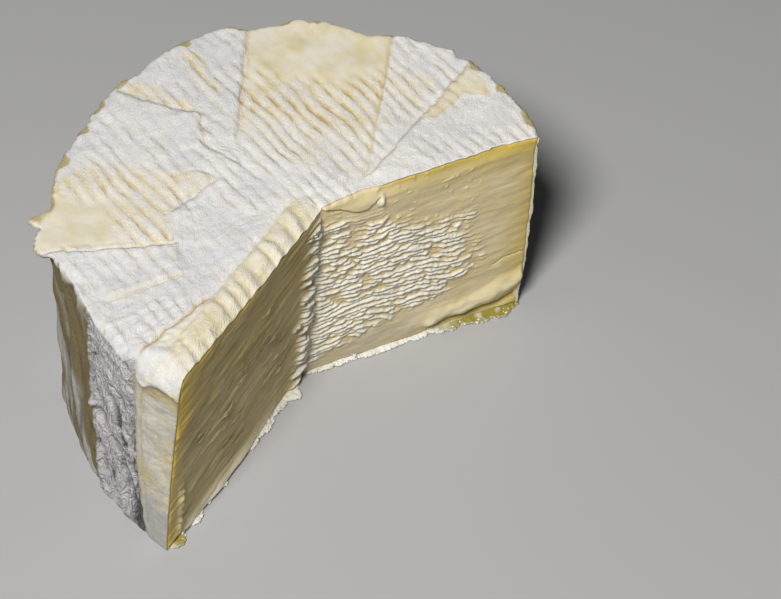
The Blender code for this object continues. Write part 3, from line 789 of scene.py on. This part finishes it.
def leftRelief(s, z):
    share = z / drum["height"]
    # ragged ends of the torn layers beside the apex
    phase = layerPhase(s * 0.7, z, -0.25, 81)
    reach = 0.0036 + 0.0034 * softNoise(0.0018, 85, s * 0.2, z) + 0.0020 * softNoise(0.006, 86, 0, z)
    strength = ease(reach + 0.0016, reach - 0.0024, s) * ease(0.049, 0.045, z)
    layers = shingle(phase) * leftStanding(phase, s, strength, 89)
    out = paste["leftDepth"] * layers * strength
    lumps = smearedLumps(s, z)
    out += lumps
    # the knife's smears run level
    out += paste["smearDepth"] * softNoise(0.013, 91, s, z * 2)
    level = z + 0.10 * s
    out += paste["smearDepth"] * softNoise(0.0017, 92, s * 0.16, level)
    out += 0.00016 * softNoise(0.0007, 73, s * 0.16, level)
    patchy = ease(-0.2, 0.3, softNoise(0.006, 78, s, z))
    out += 0.00010 * ease(0.1, 0.6, softNoise(0.0009, 77, s * 0.3, level)) * patchy
    # it flares out into a pale lip over the torn rind at its foot
    lip = ease(0.0040, 0.0006, z) * ease(0.006, 0.016, s) * ease(0.046, 0.040, s)
    lip = lip * (0.75 + 0.35 * softNoise(0.006, 79, s))
    out += paste["lipReach"] * lip
    # flaps of paste left beside the rim
    ragged = 0.0007 * softNoise(0.0022, 74, z)
    flap = ease(0.0424, 0.0430, s + ragged) * ease(0.0446, 0.0436, s)
    flap = flap * ease(0.03, 0.07, share) * ease(0.37, 0.28, share)
    out += paste["flapReach"] * flap * (0.7 + 0.6 * softNoise(0.0011, 75, s, z))
    # flake: the torn layers and the smeared lumps, whitened as painted highlight
    flake = np.clip(layers * strength + 0.42 * ease(0.00006, 0.0003, lumps), 0, 1)
    masks = dict(phase=phase, strength=strength, flake=flake, slab=0 * s, crackLine=0 * s, roll=0.4 * flap,
                 groove=0 * s, lump=np.clip(1.3 * lip, 0, 1), torn=strength)
    return out, masks


def buildPaste():
    part = paste
    columns = part["leftColumns"] + part["rightColumns"]
    obj, column, row = gridPiece("paste", columns, part["rows"])
    v = row / part["rows"]
    height = drum["height"]
    x, y, z = np.zeros(len(v)), np.zeros(len(v)), np.zeros(len(v))
    store = {}
    for side, picked in (("left", column <= part["leftColumns"]), ("right", column >= part["leftColumns"])):
        if side == "left":
            u = 1 - column[picked] / part["leftColumns"]
        else:
            u = (column[picked] - part["leftColumns"]) / part["rightColumns"]
        roughZ = v[picked] * height
        full, endAngle = cutLength(side, roughZ)
        ragged = softNoise(0.0022, 88, roughZ, u * 0.04) * 0.00018
        s = u * (full - part["insetSide"] + ragged)
        wave = softNoise(0.0024, 82, s) * 0.00016
        # its top edge follows the rind's, also where that rounds over the rim
        level = np.full(len(s), height)
        tx, ty = onCut(side, s, -leanBack(side, s, level), level)
        rounding = rimRounding(endAngle)
        inRim = np.clip((full - s) / rounding, 0, 1)
        fall = rounding * (1 - np.sqrt(np.clip(1 - (1 - inRim) ** 2, 0, 1)))
        highZ = height + topRelief(tx, ty)[0] - drum["topDrop"] + leftRoll(tx, ty)[0]
        highZ = highZ - part["insetTop"] + wave - fall
        lowZ = part["insetBase"] + wave
        here = lowZ + v[picked] * (highZ - lowZ)
        out, masks = (leftRelief if side == "left" else rightRelief)(s, here)
        # the face dips under the rind all round, and both faces meet at the apex
        border = np.minimum.reduce((here - lowZ, highZ - here, full - part["insetSide"] + ragged - s))
        out = out * ease(0.0, 0.0006, s) - part["borderDip"] * ease(0.0004, 0.0, border)
        out = out - leanBack(side, s, here)
        here = here - 0.30 * masks["flake"] * part["layerDepth"] * ease(0, 0.002, border)
        x[picked], y[picked] = onCut(side, s, out, here)
        z[picked] = here
        toTop, toSide, toBase = highZ - here, full - s, here - lowZ
        uneven = 1 + 0.35 * softNoise(0.008, 83, s, here)
        if side == "right":
            thick = np.interp(s, (0.004, 0.02, 0.034, 0.042), (0.0008, 0.0020, 0.0044, 0.0080))
            starts = ease(0.008, 0.016, s)
        else:
            thick = np.interp(s, (0.010, 0.040), (0.0004, 0.0012))
            starts = ease(0.01, 0.03, s)
        top = np.exp(-toTop / (uneven * thick)) * starts
        wide = 0.0045 if side == "right" else 0.0022 + 0.0030 * ease(0.022, 0.047, here)
        edge = 0.85 * np.exp(-(toSide / (wide * uneven)) ** 1.3)
        foot = 0.6 * np.exp(-toBase / (0.0012 * uneven)) * ease(0.012, 0.026, s) * (side == "right")
        masks["creamline"] = np.clip(np.maximum.reduce((top, edge, foot)), 0, 1)
        # the left cut's face: its paste is coloured darker as painted shade
        masks["smeared"] = (side == "left") * ease(0.0, 0.006, s)
        for name, values in masks.items():
            store.setdefault(name, np.zeros(len(v)))[picked] = values
    placePoints(obj, x, y, z)
    storeMasks(obj, **store)
    # its hidden back: the border goes into the cheese, and is closed there
    bm = openMesh(obj)
    border = [edge for edge in bm.edges if edge.is_boundary]
    made = bmesh.ops.extrude_edge_only(bm, edges=border)
    fresh = [item for item in made["geom"] if isinstance(item, bmesh.types.BMVert)]
    inward = Vector((-0.663, 0.749, 0)) * part["depth"]
    bmesh.ops.translate(bm, verts=fresh, vec=inward)
    fillNotch(bm)
    return finishMesh(obj, bm)


# torn rind at the foot of the cuts, and the crumbs on it

torn = dict(
    # per cut: how far out along it (share), half width (share) and how far it sticks out
    right=((0.12, 0.20, 0.0012), (0.36, 0.18, 0.0015), (0.52, 0.08, 0.0011), (0.66, 0.10, 0.0017),
           (0.80, 0.09, 0.0024), (0.90, 0.08, 0.0029)),
    left=((0.10, 0.06, 0.0034), (0.20, 0.07, 0.0020), (0.31, 0.08, 0.0024), (0.42, 0.07, 0.0019),
          (0.52, 0.05, 0.0013), (0.64, 0.05, 0.0021), (0.73, 0.04, 0.0014), (0.83, 0.06, 0.0023),
          (0.965, 0.06, 0.0022)),
    length=0.0462, columns=520, around=34, thickness=0.0008, tuck=0.0018,
)


def tornReach(side, u, s):  # how far the torn rind sticks out of the cut
    reach = 0.0005 + 0 * s
    for centre, half, far in torn[side]:
        reach = np.maximum(reach, far * hill(centre, half * 1.15, u) ** 0.6)
    seed = 101 if side == "right" else 111
    reach = reach * (0.80 + 0.22 * softNoise(0.0022, seed, s))
    frayed = 0.00026 * softNoise(0.0011, seed + 1, s) + 0.00022 * softNoise(0.0004, seed + 2, s)
    return reach + frayed


def buildTornRind(side):
    part = torn
    obj, column, row = gridPiece("tornRind" + side.capitalize(), part["columns"], part["around"])
    u = column / part["columns"]
    s = u * part["length"]
    reach = tornReach(side, u, s)
    turn = 2 * np.pi * row / part["around"]
    middle, half = (reach - part["tuck"]) / 2, (reach + part["tuck"]) / 2
    out = middle + half * np.cos(turn)
    seed = 121 if side == "right" else 131
    thick = part["thickness"] * (0.85 + 0.30 * softNoise(0.003, seed, s))
    thick = thick * (0.55 + 0.45 * ease(0.0, 0.0012, reach))
    lift = np.sin(turn)
    z = thick * 0.5 * (1 + np.sign(lift) * np.abs(lift) ** 0.6)
    # crumbly lumps on all but its underside
    seen = ease(0.1, 0.6, z / thick)
    knobs = 0.00016 * softNoise(0.0010, seed + 1, s, out)
    z += seen * (knobs + 0.00007 * softNoise(0.00045, seed + 2, s, out, z))
    out += 0.00020 * softNoise(0.0006, seed + 3, s, out, z) * ease(0.2, 0.9, np.cos(turn))
    z = np.maximum(z, 0)
    ends = np.minimum(1, np.minimum(u, 1 - u) / 0.012) ** 0.5
    out = out * ends
    z = z * (0.15 + 0.85 * ends)
    start = 0.0004 if side == "right" else 0.0002
    s = np.minimum(s, cutLength(side, z)[0] + 0.0003)
    placePoints(obj, *onCut(side, s + start, out, z), z)
    oliveOnes = ease(0.024, 0.034, s) if side == "right" else hill(0.044, 0.004, s)
    cloud = softNoise(0.0022, seed + 4, s, out)
    inside = ease(reach + 0.0003, reach - 0.0003, out)
    olive = np.clip(oliveOnes * ease(0.95, 0.25, cloud) * inside, 0, 1)
    storeMasks(obj, olive=olive, grey=0.5 * ease(0.0, 0.6, cloud))
    bm = openMesh(obj)
    bmesh.ops.remove_doubles(bm, verts=bm.verts[:], dist=1e-6)
    bmesh.ops.holes_fill(bm, edges=[edge for edge in bm.edges if edge.is_boundary], sides=0)
    return finishMesh(obj, bm)


crumbs = dict(count=170, smallest=0.00014, largest=0.00046)


def buildCrumbs():
    rng = np.random.default_rng(23)
    lumps = []
    for number in range(crumbs["count"]):
        side = "left" if number % 5 < 3 else "right"
        u = rng.uniform(0.03, 0.96)
        s = np.array([u * torn["length"]])
        reach = tornReach(side, np.array([u]), s)[0]
        size = crumbs["smallest"] + (crumbs["largest"] - crumbs["smallest"]) * rng.uniform(0, 1) ** 2.2
        z = size * rng.uniform(0.5, 0.9) + rng.choice((0, torn["thickness"] * 0.7))
        out = reach - size * rng.uniform(0.2, 1.2) if z < size else reach * rng.uniform(0.3, 0.9)
        apex, along, gap = cutAt(side, np.array([z]))
        spot = apex[0] + along[0] * s[0] + gap[0] * out
        place = (spot[0] + drum["axis"][0], spot[1] + drum["axis"][1], z)
        bpy.ops.mesh.primitive_ico_sphere_add(subdivisions=2, radius=size, location=place,
                                              rotation=tuple(rng.uniform(0, 6.28, 3)))
        lump = bpy.context.object
        lump.scale = rng.uniform(0.65, 1.25, 3)
        bpy.ops.object.transform_apply(location=True, rotation=True, scale=True)
        points = readPoints(lump)
        knobs = 1 + 0.45 * softNoise(size * 0.9, 140, points[:, 0], points[:, 1], points[:, 2])
        points = place + (points - place) * knobs[:, None]
        points[:, 2] = np.maximum(points[:, 2], 0.00001)
        lump.data.vertices.foreach_set("co", points.ravel())
        lumps.append(lump)
    bpy.ops.object.select_all(action="DESELECT")
    for lump in lumps:
        lump.select_set(True)
    bpy.context.view_layer.objects.active = lumps[0]
    bpy.ops.object.join()
    obj = bpy.context.object
    obj.name = obj.data.name = "crumbs"
    obj.data.shade_smooth()
    bpy.ops.object.select_all(action="DESELECT")
    return obj


# materials

def newMaterial(name):
    material = bpy.data.materials.new(name)
    material.use_nodes = True
    tree = material.node_tree
    return material, tree, tree.nodes["Principled BSDF"]


def addNode(tree, kind, inputs=None, **settings):
    node = tree.nodes.new(kind)
    for name, value in settings.items():
        setattr(node, name, value)
    for name, value in (inputs or {}).items():
        if isinstance(value, bpy.types.NodeSocket):
            tree.links.new(value, node.inputs[name])
        else:
            node.inputs[name].default_value = value
    return node


def mask(tree, name):
    return addNode(tree, "ShaderNodeAttribute", attribute_name=name).outputs["Fac"]


def stretched(tree, spot, scale, turn=(0, 0, 0)):
    settings = {"Vector": spot, "Rotation": turn, "Scale": scale}
    return addNode(tree, "ShaderNodeMapping", settings).outputs["Vector"]


def mixColour(tree, amount, first, second):
    node = addNode(tree, "ShaderNodeMix", {0: amount}, data_type="RGBA")
    for socket, value in ((node.inputs[6], first), (node.inputs[7], second)):
        if isinstance(value, bpy.types.NodeSocket):
            tree.links.new(value, socket)
        else:
            socket.default_value = (*value, 1)
    return node.outputs[2]


def sums(tree, how, first, second=0.0, clamp=False):
    return addNode(tree, "ShaderNodeMath", {0: first, 1: second}, operation=how, use_clamp=clamp).outputs[0]


def times(tree, first, second, clamp=False):
    return sums(tree, "MULTIPLY", first, second, clamp)


def plus(tree, first, second, clamp=False):
    return sums(tree, "ADD", first, second, clamp)


def tint(tree, colour, other, amount, share=None):  # mixes the other colour in, by a mask and its share
    return mixColour(tree, amount if share is None else times(tree, amount, share), colour, other)


def spread(tree, value, low, high, toLow=0.0, toHigh=1.0, soft=True):
    node = addNode(tree, "ShaderNodeMapRange", {"Value": value, "From Min": low, "From Max": high,
                                                "To Min": toLow, "To Max": toHigh})
    node.interpolation_type = "SMOOTHSTEP" if soft else "LINEAR"
    return node.outputs["Result"]


def newGroup(name, inputs, output):
    group = bpy.data.node_groups.new(name, "ShaderNodeTree")
    for label, kind in inputs:
        group.interface.new_socket(name=label, in_out="INPUT", socket_type=kind)
    group.interface.new_socket(name=output, in_out="OUTPUT", socket_type="NodeSocketFloat")
    return group, addNode(group, "NodeGroupInput"), addNode(group, "NodeGroupOutput")


def makeMottle():  # soft clouds between two levels
    number = "NodeSocketFloat"
    inputs = (("Vector", "NodeSocketVector"), ("Scale", number), ("From", number), ("To", number))
    group, entry, out = newGroup("mottle", inputs, "Mask")
    given = entry.outputs
    noise = addNode(group, "ShaderNodeTexNoise", {"Vector": given["Vector"], "Scale": given["Scale"],
                                                  "Detail": 4.0, "Roughness": 0.6})
    shaped = addNode(group, "ShaderNodeMapRange", {"Value": noise.outputs["Fac"], "From Min": given["From"],
                                                   "From Max": given["To"]})
    group.links.new(shaped.outputs["Result"], out.inputs["Mask"])
    return group


def makeGrain():  # crumbly fine relief
    inputs = (("Vector", "NodeSocketVector"), ("Scale", "NodeSocketFloat"))
    group, entry, out = newGroup("curdGrain", inputs, "Height")
    place = {"Vector": entry.outputs["Vector"], "Scale": entry.outputs["Scale"]}
    noise = addNode(group, "ShaderNodeTexNoise", {**place, "Detail": 5.0, "Roughness": 0.65})
    cells = addNode(group, "ShaderNodeTexVoronoi", place, feature="SMOOTH_F1")
    height = sums(group, "SUBTRACT", noise.outputs["Fac"], times(group, cells.outputs["Distance"], 0.5))
    group.links.new(height, out.inputs["Height"])
    return group


def makeCreases():  # thin creases between soft pillows: 0 in a crease, 1 on a pillow
    inputs = (("Vector", "NodeSocketVector"), ("Scale", "NodeSocketFloat"), ("Twist", "NodeSocketFloat"))
    group, entry, out = newGroup("fineCreases", inputs, "Height")
    given = entry.outputs
    noise = addNode(group, "ShaderNodeTexNoise", {"Vector": given["Vector"], "Scale": given["Scale"],
                                                  "Distortion": given["Twist"], "Detail": 3.0,
                                                  "Roughness": 0.55})
    centred = sums(group, "SUBTRACT", noise.outputs["Fac"], 0.5)
    height = times(group, sums(group, "ABSOLUTE", centred), 7.0, clamp=True)
    group.links.new(height, out.inputs["Height"])
    return group


mottle = makeMottle()
curdGrain = makeGrain()
fineCreases = makeCreases()


def useGroup(tree, group, vector, output, **numbers):
    node = addNode(tree, "ShaderNodeGroup", node_tree=group)
    tree.links.new(vector, node.inputs["Vector"])
    for name, value in numbers.items():
        node.inputs[name].default_value = value
    return node.outputs[output]


def clouds(tree, vector, scale, low, high):
    return useGroup(tree, mottle, vector, "Mask", Scale=scale, From=low, To=high)


def grain(tree, vector, scale):
    return useGroup(tree, curdGrain, vector, "Height", Scale=scale)


def creases(tree, vector, scale, twist=0.6):
    return useGroup(tree, fineCreases, vector, "Height", Scale=scale, Twist=twist)


def finishShader(tree, shader, colour, dullness, relief):  # relief: height, strength and distance of the bump
    bump = addNode(tree, "ShaderNodeBump", dict(zip(("Height", "Strength", "Distance"), relief)))
    for value, name in ((colour, "Base Color"), (dullness, "Roughness"), (bump.outputs["Normal"], "Normal")):
        tree.links.new(value, shader.inputs[name])


def softLight(shader, weight, radius, scale):
    shader.inputs["Subsurface Weight"].default_value = weight
    shader.inputs["Subsurface Radius"].default_value = radius
    shader.inputs["Subsurface Scale"].default_value = scale


rindLook = dict(
    # cool: the grey of the top's painted shade in the west and of its random clouds
    white=(0.88, 0.855, 0.805), cool=(0.745, 0.735, 0.72), cream=(0.87, 0.81, 0.66),
    butter=(0.79, 0.685, 0.405), ochre=(0.67, 0.485, 0.205), tan=(0.69, 0.565, 0.345),
    # painted shade: olive is far darker than the rind's own olive, for the recessed left panel, and the
    # grey-brown side colour darkens the whole side
    olive=(0.165, 0.125, 0.045), rimOlive=(0.46, 0.36, 0.12), sideShadeColour=(0.33, 0.315, 0.28),
    # grey paints the front panel's bloom in shade; dark paints shade in crevices and creases
    grey=(0.56, 0.54, 0.545), shade=(0.42, 0.34, 0.22), dark=(0.035, 0.032, 0.030),
    # the stain colour also paints the shadow under the apron
    stain=(0.60, 0.475, 0.20), edge=(0.76, 0.70, 0.52), roughness=0.80, glossy=0.40,
)


def rindMaterial():
    look = rindLook
    material, tree, shader = newMaterial("bloomyRind")
    spot = addNode(tree, "ShaderNodeTexCoord").outputs["Object"]
    east = addNode(tree, "ShaderNodeSeparateXYZ", {"Vector": spot}).outputs["X"]
    # painted shade: the top greys towards the west, over soft random grey clouds
    westShade = spread(tree, east, 0.016, -0.028, 0.0, 0.65)
    mottleAndShade = plus(tree, clouds(tree, spot, 150, 0.40, 0.66), westShade, True)
    colour = mixColour(tree, mottleAndShade, look["white"], look["cool"])
    colour = tint(tree, colour, look["cream"], clouds(tree, spot, 380, 0.50, 0.72), 0.40)
    # painted shade: the whole side of the rind darkened towards a grey-brown
    colour = tint(tree, colour, look["sideShadeColour"], mask(tree, "onSide"), 0.66)
    # butter-yellow patches with ragged borders, and bloom left over them in flecks
    wander = sums(tree, "SUBTRACT", addNode(tree, "ShaderNodeTexNoise", {
        "Vector": spot, "Scale": 700, "Detail": 4.0}).outputs["Fac"], 0.5)
    depth = plus(tree, mask(tree, "butter"), times(tree, wander, 1.6))
    butter = times(tree, spread(tree, depth, -0.15, 0.30), mask(tree, "butterAmount"))
    butter = sums(tree, "MAXIMUM", butter, mask(tree, "sideButter"))
    smooth = mask(tree, "smooth")
    flecks = times(tree, clouds(tree, spot, 330, 0.50, 0.64), sums(tree, "SUBTRACT", 0.62, smooth, True))
    cover = sums(tree, "SUBTRACT", butter, flecks, True)
    thin = mixColour(tree, clouds(tree, spot, 210, 0.35, 0.62), look["butter"], look["cream"])
    colour = tint(tree, colour, thin, cover)
    border = times(tree, spread(tree, depth, -0.1, 0.4), spread(tree, depth, 1.1, 0.5))
    border = times(tree, border, mask(tree, "butterAmount"))
    colour = tint(tree, colour, look["ochre"], border, 0.38)
    # lines of the drying mat: pale ribs, ochre strokes in the valleys
    phase = plus(tree, mask(tree, "matPhase"), times(tree, wander, 0.28))
    valley = sums(tree, "COSINE", times(tree, phase, 2 * math.pi))
    matTurn = (0, 0, math.radians(rind["matTurn"]))
    along = stretched(tree, spot, (430, 150, 100), matTurn)
    uneven = addNode(tree, "ShaderNodeTexNoise", {"Vector": along, "Scale": 1.0, "Detail": 2.0})
    uneven = uneven.outputs["Fac"]
    lines = mask(tree, "matLines")
    stroke = times(tree, spread(tree, valley, -0.10, -0.95), spread(tree, uneven, 0.44, 0.60))
    stroke = times(tree, stroke, lines)
    rib = times(tree, spread(tree, valley, -0.2, 0.7), times(tree, lines, 0.45))
    colour = tint(tree, colour, look["white"], rib)
    ink = mixColour(tree, butter, look["tan"], look["ochre"])
    bands = times(tree, spread(tree, valley, 0.55, -0.75), times(tree, lines, butter))
    colour = tint(tree, colour, ink, bands, 0.26)
    colour = tint(tree, colour, ink, times(tree, stroke, spread(tree, butter, 0, 1, 0.42, 0.68)))
    # the rolled edge
    roll = mask(tree, "roll")
    colour = tint(tree, colour, look["cream"], roll, 0.75)
    groove = times(tree, mask(tree, "rollGroove"), spread(tree, uneven, 0.35, 0.60, 0.35, 0.85))
    colour = tint(tree, colour, look["butter"], groove)
    colour = tint(tree, colour, look["tan"], groove, 0.30)
    # folds of the top: a thin shaded line
    rimPatch = spread(tree, plus(tree, mask(tree, "rimOlive"), times(tree, wander, 1.1)), 0.30, 0.85)
    foldSide = plus(tree, mask(tree, "foldSide"), times(tree, wander, 0.9))
    reach = mask(tree, "foldReach")
    fromFold = sums(tree, "ABSOLUTE", foldSide)
    foldTint = mixColour(tree, mask(tree, "foldWarm"), look["tan"], look["ochre"])
    soft = times(tree, spread(tree, fromFold, 0.75, 0.10), reach)
    soft = times(tree, soft, spread(tree, mask(tree, "foldWarm"), 0, 1, 0.32, 0.75))
    colour = tint(tree, colour, foldTint, soft)
    fainter = spread(tree, clouds(tree, spot, 150, 0.45, 0.60), 0, 1, 0.0, 0.34)
    foldLine = times(tree, spread(tree, fromFold, 0.20, 0.04), reach)
    colour = tint(tree, colour, look["shade"], times(tree, foldLine, fainter))
    colour = tint(tree, colour, look["rimOlive"], rimPatch, 0.85)
    # the side
    # real stains, and the painted shadow under the apron
    colour = tint(tree, colour, look["stain"], mask(tree, "stain"), 0.75)
    # olive: the dark panel's painted shade, and painted shadow under the apron
    colour = tint(tree, colour, look["olive"], mask(tree, "olive"), 0.97)
    # grey: painted shade on the front panel's white bloom, and grey bloom patches on the hollows and at the
    # back
    grey = times(tree, mask(tree, "grey"), clouds(tree, spot, 260, 0.28, 0.48))
    colour = tint(tree, colour, look["grey"], grey, 0.85)
    steep = stretched(tree, spot, (1.0, 1.0, 0.40), (math.radians(-28), math.radians(-28), 0))
    crinkle = creases(tree, steep, 520, 1.4)
    # painted shade in the fine crinkles of the grey front panel
    crinkleShade = times(tree, spread(tree, crinkle, 0.22, 0.0), mask(tree, "grey"))
    colour = tint(tree, colour, look["dark"], crinkleShade, 0.32)
    # painted shade in the side's crevices and creases, and painted shadow under the apron
    colour = tint(tree, colour, look["dark"], mask(tree, "cavity"), 0.85)
    colour = tint(tree, colour, look["edge"], mask(tree, "cutEdge"))
    dullness = spread(tree, smooth, 0, 1, look["roughness"], look["glossy"])
    # relief finer than the mesh
    rough = times(tree, creases(tree, stretched(tree, spot, (1.0, 0.45, 1.0), matTurn), 700, 1.6), 0.34)
    rough = plus(tree, rough, times(tree, creases(tree, spot, 1900, 0.8), 0.14))
    rough = plus(tree, rough, times(tree, grain(tree, spot, 2600), 0.12))
    rough = times(tree, rough, spread(tree, smooth, 0, 1, 1.0, 0.12))
    crisp = plus(tree, times(tree, mask(tree, "grey"), 1.7), times(tree, mask(tree, "onSide"), 0.25))
    crisp = times(tree, crinkle, crisp)
    rough = plus(tree, rough, crisp)
    step = times(tree, spread(tree, foldSide, -0.30, 0.30), reach)
    raised = plus(tree, rough, times(tree, step, 0.32))
    raised = sums(tree, "SUBTRACT", raised, times(tree, stroke, 0.45))
    finishShader(tree, shader, colour, dullness, (raised, 0.8, 0.00025))
    softLight(shader, 0.12, (1.0, 0.7, 0.4), 0.0010)
    return material


pasteLook = dict(
    cream=(0.80, 0.66, 0.36), pale=(0.95, 0.915, 0.79), yellow=(0.62, 0.45, 0.07), honey=(0.64, 0.43, 0.06),
    between=(0.68, 0.56, 0.32), mustard=(0.86, 0.60, 0.06), foot=(0.56, 0.485, 0.335),
    # the crevice colours paint shade in the torn layers' crevices; olive paints shade in the groove under the
    # roll
    creviceShade=(0.46, 0.34, 0.12), gold=(0.80, 0.55, 0.14), roll=(0.93, 0.83, 0.52), olive=(0.45, 0.37, 0.05),
    # the two left-face colours are the paste darkened as painted shade, darker towards the top
    slab=(0.78, 0.65, 0.37), smeared=(0.58, 0.465, 0.215), smearedTop=(0.52, 0.395, 0.145),
    shade=(0.26, 0.19, 0.09), roughness=0.46,
)


def pasteMaterial():
    look = pasteLook
    material, tree, shader = newMaterial("creamPaste")
    spot = addNode(tree, "ShaderNodeTexCoord").outputs["Object"]
    colour = tint(tree, look["cream"], look["pale"], clouds(tree, spot, 150, 0.40, 0.68), 0.30)
    strength = mask(tree, "strength")
    flake = mask(tree, "flake")
    colour = tint(tree, colour, look["between"], strength, 0.55)
    height = addNode(tree, "ShaderNodeSeparateXYZ", {"Vector": spot}).outputs["Z"]
    colour = tint(tree, colour, look["foot"], spread(tree, height, 0.0085, 0.0045, 0.0, 0.72))
    # painted shade: the left cut's face darker khaki, darker still towards the top
    leftFaceShade = mixColour(tree, spread(tree, height, 0.022, 0.040), look["smeared"], look["smearedTop"])
    colour = tint(tree, colour, leftFaceShade, mask(tree, "smeared"))
    line = mask(tree, "creamline")
    rindYellow = mixColour(tree, mask(tree, "smeared"), look["yellow"], look["mustard"])
    colour = tint(tree, colour, rindYellow, spread(tree, line, 0.0, 0.95, 0.0, 0.95, soft=False))
    colour = tint(tree, colour, look["honey"], spread(tree, line, 0.80, 1.0, 0.0, 0.5))
    colour = tint(tree, colour, look["slab"], mask(tree, "slab"), 0.8)
    colour = tint(tree, colour, look["roll"], mask(tree, "roll"), 0.75)
    # painted shade: dark olive in the groove under the slumped roll
    colour = tint(tree, colour, look["olive"], mask(tree, "groove"), 0.85)
    # torn layers: painted highlight where they stand out, painted shade in the crevice, gold in a few
    colour = tint(tree, colour, look["pale"], spread(tree, flake, 0.12, 0.70, 0.0, 0.95))
    phase = sums(tree, "FRACT", mask(tree, "phase"))
    crevice = plus(tree, spread(tree, phase, 0.15, 0.03), spread(tree, phase, 0.84, 0.985), True)
    crevice = times(tree, crevice, spread(tree, mask(tree, "torn"), 0.10, 0.70))
    creviceShade = mixColour(tree, clouds(tree, spot, 190, 0.58, 0.66), look["creviceShade"], look["gold"])
    colour = tint(tree, colour, creviceShade, crevice, 0.62)
    colour = tint(tree, colour, look["shade"], mask(tree, "crackLine"), 0.8)
    colour = tint(tree, colour, look["pale"], mask(tree, "lump"), 0.7)
    shine = clouds(tree, spot, 300, 0.3, 0.7)
    dullness = spread(tree, shine, 0, 1, look["roughness"], look["roughness"] + 0.2)
    smear = stretched(tree, spot, (1.0, 1.0, 4.0))
    streak = addNode(tree, "ShaderNodeTexNoise", {"Vector": smear, "Scale": 260, "Detail": 4.0,
                                                  "Roughness": 0.55}).outputs["Fac"]
    crumbly = times(tree, grain(tree, spot, 1500), spread(tree, strength, 0, 1, 0.12, 0.60))
    raised = plus(tree, times(tree, streak, 0.28), crumbly)
    raised = sums(tree, "SUBTRACT", raised, times(tree, crevice, 0.4))
    finishShader(tree, shader, colour, dullness, (raised, 0.6, 0.00035))
    softLight(shader, 0.15, (1.0, 0.75, 0.35), 0.0013)
    return material


crumbLook = dict(
    white=(0.90, 0.885, 0.84), cream=(0.89, 0.84, 0.68), olive=(0.345, 0.285, 0.048), grey=(0.70, 0.69, 0.67),
)


def crumbMaterial():  # torn rind and crumbs: white bloom, cream curd, a little olive
    look = crumbLook
    material, tree, shader = newMaterial("tornCurd")
    spot = addNode(tree, "ShaderNodeTexCoord").outputs["Object"]
    colour = mixColour(tree, clouds(tree, spot, 420, 0.40, 0.62), look["white"], look["cream"])
    colour = tint(tree, colour, look["grey"], mask(tree, "grey"))
    colour = tint(tree, colour, look["olive"], mask(tree, "olive"))
    dullness = spread(tree, clouds(tree, spot, 500, 0.3, 0.7), 0, 1, 0.6, 0.85)
    rough = plus(tree, times(tree, creases(tree, spot, 1500, 0.8), 0.4), grain(tree, spot, 1800))
    finishShader(tree, shader, colour, dullness, (rough, 0.6, 0.0002))
    softLight(shader, 0.15, (1.0, 0.75, 0.45), 0.0008)
    return material


# camera, lights and floor

studio = dict(
    elevation=49.81, distance=0.4581, aim=(0.01556, 0.01846), focal=2300, frameWidth=781,
    key=(-0.16, -0.52, 0.84), keyDistance=0.85, keySize=0.22, keyPower=7.4,
    world=(0.60, 0.62, 0.65), worldStrength=0.04, floor=(0.47, 0.465, 0.46),
)


def buildStudio():
    part = studio
    tilt = math.radians(part["elevation"])
    target = Vector((part["aim"][0] + drum["axis"][0], part["aim"][1] + drum["axis"][1], 0))
    place = target + Vector((0, -math.cos(tilt), math.sin(tilt))) * part["distance"]
    bpy.ops.object.camera_add(location=place, rotation=(math.pi / 2 - tilt, 0, 0))
    camera = bpy.context.object
    camera.data.sensor_fit = "HORIZONTAL"
    camera.data.lens = part["focal"] / part["frameWidth"] * camera.data.sensor_width
    camera.data.clip_start = 0.01
    bpy.context.scene.camera = camera
    centre = Vector((0, 0, 0.02))
    key = Vector(part["key"]).normalized()
    bpy.ops.object.light_add(type="AREA", location=centre + key * part["keyDistance"])
    light = bpy.context.object
    light.name = "keyLight"
    light.data.shape = "DISK"
    light.data.size = part["keySize"]
    light.data.energy = part["keyPower"]
    light.rotation_euler = key.to_track_quat("Z", "Y").to_euler()
    world = bpy.data.worlds.new("studioAir")
    world.use_nodes = True
    world.node_tree.nodes["Background"].inputs["Color"].default_value = (*part["world"], 1)
    world.node_tree.nodes["Background"].inputs["Strength"].default_value = part["worldStrength"]
    bpy.context.scene.world = world
    bpy.ops.mesh.primitive_plane_add(size=6, location=(0, 0, -0.0001))
    floor = bpy.context.object
    floor.name = "studioFloor"
    material, _, shader = newMaterial("paleFloor")
    shader.inputs["Base Color"].default_value = (*part["floor"], 1)
    shader.inputs["Roughness"].default_value = 0.9
    floor.data.materials.append(material)
    bpy.context.scene.view_settings.view_transform = "Standard"


pieces = []


def dress(piece, material):
    piece.data.materials.append(material)
    pieces.append(piece)
    print(piece.name, "ready:", len(piece.data.polygons), "faces")


bpy.ops.object.select_all(action="DESELECT")
buildStudio()
print("studio ready")
dress(buildRind(), rindMaterial())
dress(buildPaste(), pasteMaterial())
curd = crumbMaterial()
dress(buildTornRind("left"), curd)
dress(buildTornRind("right"), curd)
dress(buildCrumbs(), curd)
for piece in pieces:
    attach(piece, "root")
    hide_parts("cheese")
